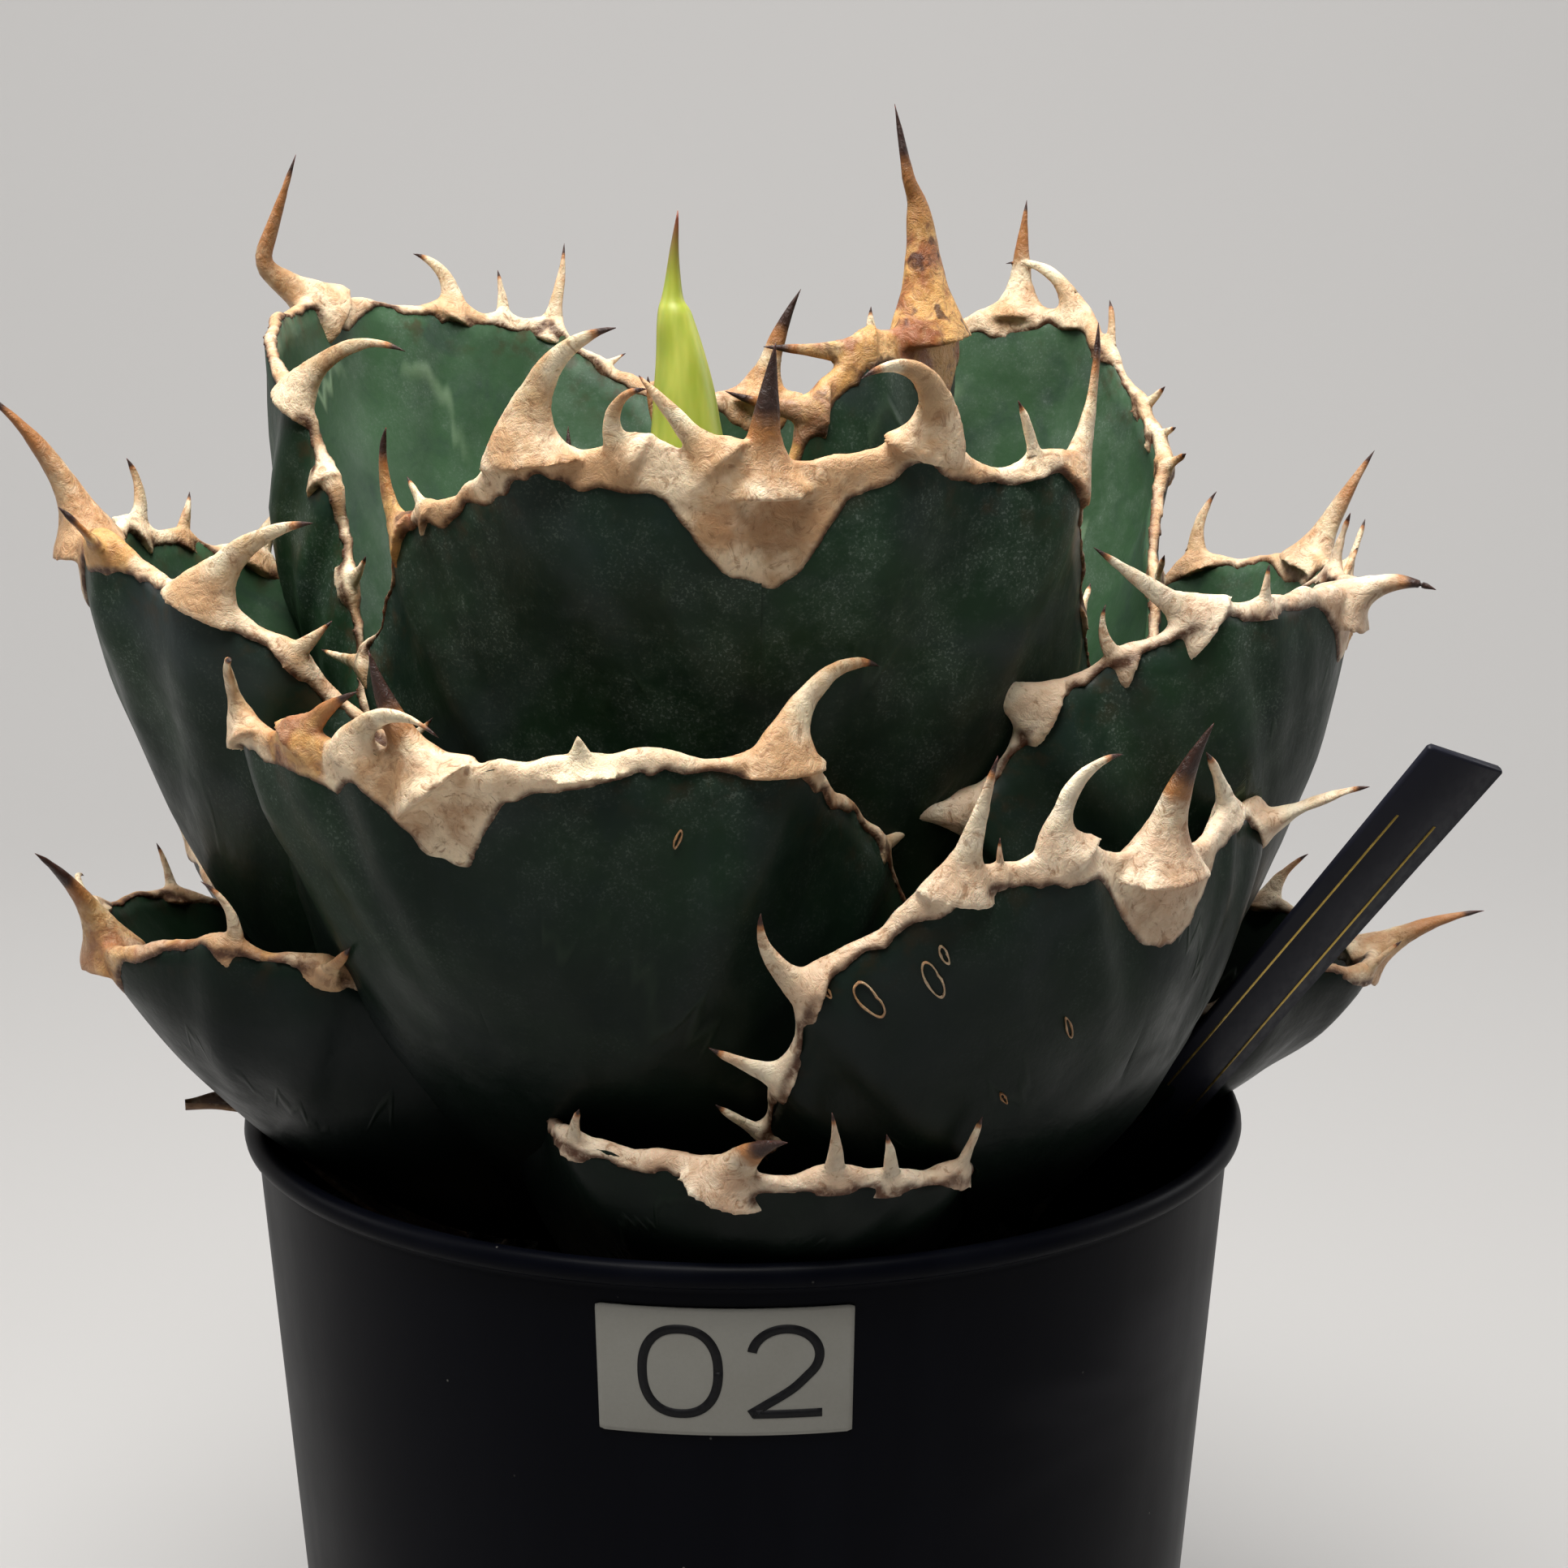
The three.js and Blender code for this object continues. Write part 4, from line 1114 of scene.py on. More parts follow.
class LeafForm:
    """A leaf's surface: a curved midrib, a cupped section and an outline walked by its arc length."""

    def __init__(self, plan: LeafPlan, growth: Growth = Growth()) -> None:
        """Walks the outline of the plan once.

        Args:
            plan: the leaf's sizes.
            growth: how unevenly it has grown.
        """
        self.plan, self.growth = plan, growth
        azimuth = math.radians(plan.azimuth)
        self.outward = np.array([math.sin(azimuth), -math.cos(azimuth), 0.0])
        self.across = np.array([math.cos(azimuth), math.sin(azimuth), 0.0])
        self.up = np.array([0.0, 0.0, 1.0])
        steps = 400
        s = 1 - (1 - np.arange(steps + 1) / steps) ** 2
        point, _ = self.midrib(s)
        half = self.half_width(s)
        along = np.hypot(*np.diff(point, axis=0).T)
        self.walk_s, self.walk_half = s, half
        self.walk_length = np.concatenate([[0], np.cumsum(along)])
        self.walk_arc = np.concatenate([[0], np.cumsum(np.hypot(along, np.diff(half)))])
        self.arc_length = float(self.walk_arc[-1])
        self.midrib_length = float(self.walk_length[-1])

    def midrib(self, s: Array) -> tuple[Array, Array]:
        """Follows the midrib.

        Args:
            s: places along the midrib, 0 at the foot and 1 at the tip.

        Returns:
            Radius and height at each place, and the unit direction there.
        """
        s = np.asarray(s, float)[..., None]
        b, c, t = (np.array(v, float) for v in (self.plan.base, self.plan.belly, self.plan.tip))
        point = (1 - s) ** 2 * b + 2 * s * (1 - s) * c + s ** 2 * t
        return point, unit(2 * (1 - s) * (c - b) + 2 * s * (t - c))

    def half_width(self, s: Array) -> Array:
        """Measures the leaf across.

        Args:
            s: places along the midrib.

        Returns:
            Half the breadth at each place.
        """
        plan, foot = self.plan, 0.4
        s = np.asarray(s, float)
        low = foot + (1 - foot) * np.sin(np.clip(s / plan.shoulder, 0, 1) * math.pi / 2) ** 1.3
        end = np.clip((s - plan.shoulder) / (1 - plan.shoulder), 0, 1)
        high = (1 - end ** plan.blunt) ** (1 / plan.corner)
        return plan.width / 2 * np.where(s < plan.shoulder, low, high)

    def surface(self, s: Array, distance: Array) -> tuple[Array, Array, Array, Array]:
        """Finds places on the inner face before it is waved.

        Args:
            s: places along the midrib.
            distance: distances across from it, to the right.

        Returns:
            Place, length direction, cross direction and inner normal.
        """
        point, direction = self.midrib(s)
        along = self.outward * direction[..., :1] + self.up * direction[..., 1:]
        normal = self.up * direction[..., :1] - self.outward * direction[..., 1:]
        turn = math.radians(self.plan.roll) * np.asarray(s, float)[..., None]
        cross = self.across * np.cos(turn) + normal * np.sin(turn)
        face = normal * np.cos(turn) - self.across * np.sin(turn)
        bend = (np.asarray(distance, float) / self.plan.cup)[..., None]
        place = (self.outward * point[..., :1] + self.up * point[..., 1:]
                 + self.across * self.plan.sway * np.asarray(s, float)[..., None] ** 2
                 + cross * self.plan.cup * np.sin(bend) + face * self.plan.cup * (1 - np.cos(bend)))
        return (place, along, cross * np.cos(bend) + face * np.sin(bend),
                face * np.cos(bend) - cross * np.sin(bend))

    def mound(self, at: Array, side: Side) -> Array:
        """Sums how far the teeth push the outline out.

        Args:
            at: places along the margin.
            side: which margin.

        Returns:
            The push at each place.
        """
        total = np.zeros_like(np.asarray(at, float))
        for tooth in self.plan.teeth:
            if tooth.side is side:
                spread = 0.5 * tooth.width + 1.2
                height = self.growth.mound * min(1.3, tooth.length / 9)
                total = total + height * np.exp(-(((at - tooth.at) * self.arc_length / spread) ** 2))
        return total

    def outline(self, at: Array, side: Side) -> tuple[Array, Array, Array]:
        """Follows the outline.

        Args:
            at: places along the margin.
            side: which margin.

        Returns:
            Place along the midrib, half breadth, and the direction of the outline laid flat.
        """
        x = np.asarray(at, float) * self.arc_length
        step = 0.004 * self.arc_length
        run, rise = (np.interp(x + step, self.walk_arc, walk) - np.interp(x - step, self.walk_arc, walk)
                     for walk in (self.walk_length, self.walk_half))
        flat = unit(np.stack([run, rise], -1))
        push = self.mound(at, side)
        growth, seed = self.growth, int(self.plan.azimuth)
        ragged = growth.ragged[0] * noise_line(x, growth.ragged_length[0], seed + side.value)
        ragged = ragged + growth.ragged[1] * noise_line(x, growth.ragged_length[1], seed + 9 * side.value)
        push = push + ragged * smooth(self.arc_length - x, 1.0, 7.0)
        return (np.interp(x, self.walk_arc, self.walk_s) - flat[..., 1] * push / self.midrib_length,
                np.interp(x, self.walk_arc, self.walk_half) + flat[..., 0] * push, flat)

    def net(self, at: Array, out: Array, side: Side, depth: Array, grow: Array = 0.0) -> Net:
        """Finds places on the leaf.

        Args:
            at: places along the margin.
            out: places along the spoke, 0 at the midrib and 1 at the margin.
            side: the half of the leaf.
            depth: how far below the inner face.
            grow: how far out past the margin.

        Returns:
            The places with their directions.
        """
        at, out, depth, grow = np.broadcast_arrays(*[np.asarray(v, float) for v in (at, out, depth, grow)])
        s, half, flat = self.outline(at, side)
        growth, sign = self.growth, side.value
        phase = growth.waves * at + (0.3 if side is Side.RIGHT else 0)
        wave = growth.wave * out ** 4 * np.sin(2 * math.pi * phase)
        wave = wave * (1 - smooth(at, 0.93, 1.0))
        root = SPOKE_REACH * at
        place, along, cross, inner = self.surface(root + (s - root) * out, sign * half * out)
        outward = cross * flat[..., :1] * sign - along * flat[..., 1:]
        wide, narrow = growth.swell_length
        swell = noise(place, wide, 61) + 0.5 * noise(place, narrow, 62)
        wave = wave + growth.swell * swell * (0.3 + 0.7 * out) * smooth(at, 0.1, 0.4)
        below = smooth(out, 0.25, 0.9) - 0.5 * smooth(out, 0.9, 1.0)
        wave = wave - growth.fold * self.mound(at, side) * below
        place = place + inner * (wave - depth)[..., None] + outward * (grow * out)[..., None]
        return Net(place, inner, outward, along * flat[..., :1] + cross * flat[..., 1:] * sign)

    def thickness(self, at: Array, out: Array) -> Array:
        """Returns the blade's thickness."""
        middle = self.plan.thick * (1.15 - 0.55 * SPOKE_REACH * at)
        return RIM_THICKNESS + (middle - RIM_THICKNESS) * (1 - out ** 2)

    def cork_edge(self, at: Array, side: Side, face: Face) -> Array:
        """Finds the cork's ragged border.

        Args:
            at: places along the margin.
            side: which margin.
            face: which face of the blade.

        Returns:
            The border's place on each spoke.
        """
        plan, growth = self.plan, self.growth
        s, half, _ = self.outline(at, side)
        spoke = np.hypot((s - SPOKE_REACH * at) * self.midrib_length, half)
        x = (1 - at) * self.arc_length
        deep = (0.62 if face is Face.OUTER else 0.42) * plan.bib
        bib = 0.75 * deep * np.exp(-((x / (0.7 * plan.bib)) ** 4))
        bib = bib + 0.25 * deep * np.exp(-((x / (1.7 * plan.bib)) ** 2))
        ramp = np.clip((at - CORK_START) / 0.08, 0.35, 1)
        seed = int(plan.azimuth) * 7 + side.value * 31 + int(face.value) * 101
        skirt = np.zeros_like(x)
        for tooth in plan.teeth:
            if tooth.side is side:
                gap = (at - tooth.at) * self.arc_length / (0.55 * tooth.width + 1.0)
                skirt = skirt + growth.skirt * tooth.width * min(1.0, tooth.length / 8) * np.exp(-(gap ** 2))
        coarse, fine = growth.jag_length
        jag = (0.6 * noise_line(x, coarse, seed) + 0.4 * noise_line(x, fine, seed + 1)) * smooth(x, 0.2, 2.5)
        lobe = growth.lobe * np.clip(noise_line(x, growth.lobe_length, seed + 2), 0, 1)
        breadth = plan.cork * 0.2 * ramp + bib + skirt + lobe * ramp + jag * (0.9 + 0.3 * skirt)
        return 1 - np.maximum(breadth, growth.least_cork) / spoke


@dataclass
class Leaf:
    """One leaf: its green blade, and the cork margin with teeth and spine.

    Attributes:
        plan: its sizes.
        rows: stations along each margin of the blade.
        columns: stations from the midrib to a margin.
    """

    plan: LeafPlan
    rows: int = 84
    columns: int = 17

    def __post_init__(self) -> None:
        """Prepares the surface."""
        self.form = LeafForm(self.plan)
        self.seed = int(self.plan.azimuth) + 400

    def _rings(self, rows: int, columns: int, grow: float, rough: float) -> tuple[Array, Array]:
        """Lays closed rings round the blade, one for each station of the margin.

        Args:
            rows: number of rings less one.
            columns: stations from the midrib to a margin.
            grow: swells the blade all round.
            rough: millimetres of soft unevenness.

        Returns:
            The rings, and for each corner its margin place, spoke place, face and youth.
        """
        at = (1 - (1 - np.arange(rows + 1) / rows) ** 1.3)[:, None]
        out = (np.linspace(0, 1, columns + 1) ** 0.9)[None, :]

        def half(side: Side, face: Face) -> tuple[Array, Array]:
            """Lays one half of one face.

            Args:
                side: which half.
                face: which face.

            Returns:
                Its places and colour values.
            """
            depth = np.broadcast_to(-grow if face is Face.INNER else 0.0, (rows + 1, columns + 1))
            if face is Face.OUTER:
                depth = self.form.thickness(at, out) + grow
            spot = self.form.net(at, out * RIM_START, side, depth, grow)
            lift = rough * noise(spot.place, 5.5, self.seed) * (1 - smooth(out, 0.6, 0.9))
            place = spot.place + spot.inner * (lift * (1 - smooth(at, 0.85, 0.95)))[..., None]
            mark = np.stack(np.broadcast_arrays(at, out, face.value, self.plan.young), -1)
            return place, mark

        def rim(side: Side) -> tuple[Array, Array]:
            """Lays the rounded edge between the faces.

            Args:
                side: which margin.

            Returns:
                Its places and colour values.
            """
            thick = self.form.thickness(at, 1.0)
            spot = self.form.net(at, np.full_like(at, RIM_START), side, thick / 2, 0.06 + grow)
            return spot.place, np.stack(np.broadcast_arrays(at, 1.0, 0.5, self.plan.young), -1)

        parts = []
        for face in (Face.INNER, Face.OUTER):
            (place_l, mark_l), (place_r, mark_r) = half(Side.LEFT, face), half(Side.RIGHT, face)
            row = (np.concatenate([place_l[:, :0:-1], place_r], 1),
                   np.concatenate([mark_l[:, :0:-1], mark_r], 1))
            if face is Face.OUTER:
                row = (row[0][:, ::-1], row[1][:, ::-1])
            parts.append(row)
            parts.append(rim(Side.RIGHT if face is Face.INNER else Side.LEFT))
        return tuple(np.concatenate([part[k] for part in parts], 1) for k in (0, 1))

    def blade(self) -> Shape:
        """Builds the blade's closed skin.

        Returns:
            The blade with its colour layer.
        """
        rings, marks = self._rings(self.rows, self.columns, 0.0, 0.22)
        shape = loft(rings, closed=False)
        extra = len(shape.points) - marks.shape[0] * marks.shape[1]
        shape.marks["skin"] = np.vstack([marks.reshape(-1, 4), np.zeros((extra, 4))])
        return BENCH.welded(shape)

    def space(self) -> Shape:
        """Builds a plain swollen blade, which the younger leaves are cut by."""
        rings, _ = self._rings(30, 7, SPACE_GAP, 0.0)
        return BENCH.welded(loft(rings, closed=False))

    def hollow(self) -> Shape:
        """Builds the room in front of the inner face, which older leaves keep out of.

        Returns:
            The closed room.
        """
        at = (1 - (1 - np.arange(31) / 30) ** 1.3)[:, None]
        out = 0.93 * np.linspace(0, 1, 9)[None, :]
        rows = [np.concatenate([self.form.net(at, out, Side.LEFT, depth).place[:, :0:-1],
                                self.form.net(at, out, Side.RIGHT, depth).place], 1)
                for depth in (-HOLLOW_DEPTH, 0.25)]
        return BENCH.welded(loft(np.concatenate([rows[0], rows[1][:, ::-1]], 1), closed=False))

    def _band(self) -> Shape:
        """Builds the cork band from one side over the tip to the other.

        Returns:
            The closed band.
        """
        count = 150
        line = 1 - (1 - np.arange(count + 1) / count) ** 1.15
        at = CORK_START + (1 - CORK_START) * line
        steps = (0.0, 0.05, 0.14, 0.26, 0.4, 0.55, 0.7, 0.84, 0.95)
        lifts = (-0.4, 0.08, 0.2, 0.24, 0.24, 0.24, 0.24, 0.2, 0.1)
        bumps = 0.16 * noise_line(at * self.form.arc_length, 2.3, self.seed + 5)
        parts = []
        for side in (Side.LEFT, Side.RIGHT):
            ring = []
            for face in (Face.INNER, Face.OUTER):
                edge = self.form.cork_edge(at, side, face)
                row = []
                for step, lift in zip(steps, lifts):
                    out = edge + (1 - edge) * step
                    bumpy = lift + (bumps if lift > 0.1 else 0)
                    depth = self.form.thickness(at, out) + bumpy if face is Face.OUTER else -bumpy
                    row.append(self.form.net(at, out, side, depth).place)
                ring += row if face is Face.INNER else row[::-1]
                if face is Face.INNER:
                    thick = self.form.thickness(at, 1.0)
                    for share, grow in ((0.2, 0.3), (0.5, 0.42), (0.8, 0.3)):
                        ring.append(self.form.net(at, 1.0, side, thick * share, grow).place)
            parts.append(np.stack(ring, 1))
        rings = np.concatenate([parts[0], parts[1][-2::-1]], 0)
        return loft(rings)

    @staticmethod
    def _sweep(path: Array, normal: Array, radius: Array, flatness: float, sides: int = 12) -> Shape:
        """Skins a tapering horn along a path.

        Args:
            path: places from the root to the point.
            normal: direction across which it is flattened.
            radius: half breadth at each place.
            flatness: thinness as a share of the breadth.
            sides: corners of each ring.

        Returns:
            The closed horn.
        """
        heading = unit(np.gradient(path, axis=0))
        wide = unit(np.cross(normal, heading))
        thin = np.cross(heading, wide)
        angle = 2 * math.pi * (np.arange(sides) + 0.5) / sides
        ring = (wide[:, None] * np.cos(angle)[None, :, None] * radius[:, None, None]
                + thin[:, None] * np.sin(angle)[None, :, None]
                * np.maximum(radius * flatness, np.minimum(radius, 0.35))[:, None, None])
        return loft(path[:, None] + ring)

    def _tooth(self, tooth: Tooth, steps: int = 22) -> tuple[Array, Array, Array, float]:
        """Draws one tooth.

        Args:
            tooth: its sizes.
            steps: stations along it.

        Returns:
            Its path, normal, radii and flatness.
        """
        spot = self.form.net(tooth.at, 1.0, tooth.side, 1.0)
        root = TOOTH_ROOT + 0.8 * float(self.form.mound(tooth.at, tooth.side))
        length = tooth.length + root
        lift = math.radians(tooth.lift)
        path = [spot.place - spot.out * root]
        for i in range(steps):
            lean = math.radians(tooth.lean + tooth.curl * (i + 0.5) / steps)
            path.append(path[-1] + length / steps * (spot.out * math.cos(lean) * math.cos(lift)
                                                     + spot.to_tip * math.sin(lean) * math.cos(lift)
                                                     + spot.inner * math.sin(lift)))
        share = np.arange(steps + 1) / steps
        radius = tooth.width / 2 * (1 - share) ** 0.75 * (0.56 + 0.95 * np.exp(-(share / 0.24) ** 1.5))
        return np.array(path), spot.inner, np.maximum(radius, POINT_RADIUS), TOOTH_FLATNESS

    def _spine(self, steps: int = 30) -> tuple[Array, Array, Array, float]:
        """Draws the terminal spine.

        Args:
            steps: stations along it.

        Returns:
            Its path, normal, radii and flatness.
        """
        spine = self.plan.spine
        spot = self.form.net(1.0, 1.0, Side.RIGHT, 1.0)
        _, along, cross, inner = self.form.surface(1.0, 0.0)
        length = spine.length + SPINE_ROOT
        path = [spot.place - SPINE_ROOT * along]
        for i in range(steps):
            share = (i + 0.5) / steps
            share = (1 - spine.bend) * share + spine.bend * float(smooth(share, 0.38, 0.55))
            lean = math.radians(spine.lean + spine.curl * share)
            lift = math.radians(spine.lift + spine.hook * share)
            path.append(path[-1] + length / steps * (along * math.cos(lean) * math.cos(lift)
                                                     + cross * math.sin(lean) * math.cos(lift)
                                                     + inner * math.sin(lift)))
        share = np.arange(steps + 1) / steps
        kink = spine.kink * smooth(share, 0.0, 0.55) * (1 - smooth(share, 0.58, 0.7))
        path = np.array(path) + cross * kink[:, None]
        knot = 0.3 * min(1.0, spine.kink) * (1 - smooth(share, 0.5, 0.68))
        radius = spine.width / 2 * (1 - share) ** 0.9 * (0.72 + knot + 0.75 * np.exp(-(share / 0.2) ** 1.6))
        return path, inner, np.maximum(radius, POINT_RADIUS), SPINE_FLATNESS

    def _marked(self, shape: Shape, horns: list[tuple[Array, Array, Array, float]]) -> Array:
        """Measures what the cork's finish reads.

        Args:
            shape: the cork.
            horns: path, normal, radii and flatness of each tooth and of the spine.

        Returns:
            Tip share, border closeness, rust and paleness of each corner.
        """
        plan = self.plan
        at = np.linspace(CORK_START, 1, 260)
        border = []
        for side in (Side.LEFT, Side.RIGHT):
            for face in (Face.INNER, Face.OUTER):
                edge = self.form.cork_edge(at, side, face)
                depth = self.form.thickness(at, edge) if face is Face.OUTER else 0.0
                border.append(self.form.net(at, edge, side, depth).place)
        border = np.vstack(border)
        paths = [horn[0] for horn in horns]
        path = np.vstack(paths)
        share = np.concatenate([np.linspace(0, 1, len(line)) for line in paths])
        reach = np.concatenate([horn[2] for horn in horns])
        rusts = [tooth.rust for tooth in plan.teeth] + [max(plan.rust, 0.45)]
        darks = [max(0.01, 0.1 + 0.24 * tooth.rust) for tooth in plan.teeth] + [plan.spine.dark]
        warms = [0.16 + 0.3 * max(0.0, tooth.rust) for tooth in plan.teeth] + [0.48]
        counts = [len(line) for line in paths]
        rust, dark, warm = (np.repeat(values, counts) for values in (rusts, darks, warms))
        marks = np.zeros((len(shape.points), 4))
        for start in range(0, len(shape.points), CHUNK):
            rows = slice(start, start + CHUNK)
            part = shape.points[rows]
            gap = np.linalg.norm(part[:, None] - path[None], axis=2)
            best = (gap - reach).argmin(1)
            near = gap[np.arange(len(part)), best] - reach[best]
            on = 1 - smooth(near, 0.5, 1.6)
            tip = smooth(share[best], 1 - 1.6 * dark[best], 1 - 0.3 * dark[best])
            tip = np.maximum(tip, warm[best] * smooth(share[best], 0.15, 0.7)) * on
            edge = np.sqrt(((part[:, None] - border[None]) ** 2).sum(2).min(1))
            marks[rows, 0] = tip
            marks[rows, 1] = 1 - smooth(edge, 0.4, 1.1)
            marks[rows, 2] = plan.rust * (1 - on) + np.maximum(rust[best], 0) * on
        marks[:, 3] = plan.pale
        return marks

    def cork(self, rooms: list[Shape]) -> Shape:
        """Builds the cork margin with its teeth and spine melted into it.

        Args:
            rooms: the hollows of younger leaves, which it is cut by.

        Returns:
            The cork with its colour layer.
        """
        horns = [self._tooth(tooth) for tooth in self.plan.teeth] + [self._spine()]
        solids = [self._sweep(*horn) for horn in horns]
        melted = BENCH.remeshed(Shape.joined([self._band(), *solids]), self.plan.voxel).relaxed(3, 0.5)
        melted = BENCH.carved(melted, rooms)
        points = []
        for path, normal, radius, flatness in horns:
            start = int(len(path) * 0.3)
            if np.linalg.norm(melted.points - path[start], axis=1).min() > radius[start] + 0.8:
                continue
            fade = 0.9 + 0.1 * smooth(np.linspace(0, 1, len(path))[start:], 0.3, 0.55)
            points.append(self._sweep(path[start:], normal, radius[start:] * fade, flatness))
        shape = Shape.joined([melted, *points])
        marks = self._marked(shape, horns)
        lump = 0.15 * noise(shape.points, 2.6, self.seed + 9)
        lump = lump + 0.07 * noise(shape.points, 1.1, self.seed + 10)
        shape.points = shape.points + shape.normals() * (lump * (1 - 0.9 * marks[:, 0]))[:, None]
        shape.marks["horn"] = marks
        return shape

    def scars(self) -> Shape | None:
        """Builds the corky rings that stand on the blade.

        Returns:
            The rings, or nothing for a leaf without them.
        """
        rings = []
        for scar in self.plan.scars:
            at, out, side = scar.at, scar.out, scar.side
            s, half, _ = self.form.outline(at, side)
            spoke = float(np.hypot((s - SPOKE_REACH * at) * self.form.midrib_length, half))
            turn = np.linspace(0, 2 * math.pi, 33)[:-1]
            wobble = scar.radius * (1 + 0.22 * noise_line(turn * 2, 2.1, int(at * 900)))
            ring_at = at + np.cos(turn) * wobble * 0.4 / self.form.arc_length
            ring_out = out + np.sin(turn) * wobble / spoke
            spot = self.form.net(at, out, side, self.form.thickness(at, out))
            path = self.form.net(ring_at, ring_out, side, self.form.thickness(ring_at, ring_out) + 0.05).place
            radial = unit(path - spot.place)
            angle = 2 * math.pi * np.arange(6) / 6
            tube = (path[:, None] + radial[:, None] * (0.15 * np.cos(angle))[None, :, None]
                    + spot.inner * (0.2 * np.sin(angle))[None, :, None])
            count, sides = tube.shape[:2]
            faces = []
            for i in range(count):
                here, there = i * sides, (i + 1) % count * sides
                for k in range(sides):
                    turned = (k + 1) % sides
                    faces.append([here + k, here + turned, there + turned, there + k])
            rings.append(Shape(tube.reshape(-1, 3), faces))
        if not rings:
            return None
        shape = Shape.joined(rings)
        shape.marks["horn"] = np.tile([0.12, 0.4, 0.4, 0.0], (len(shape.points), 1))
        return shape


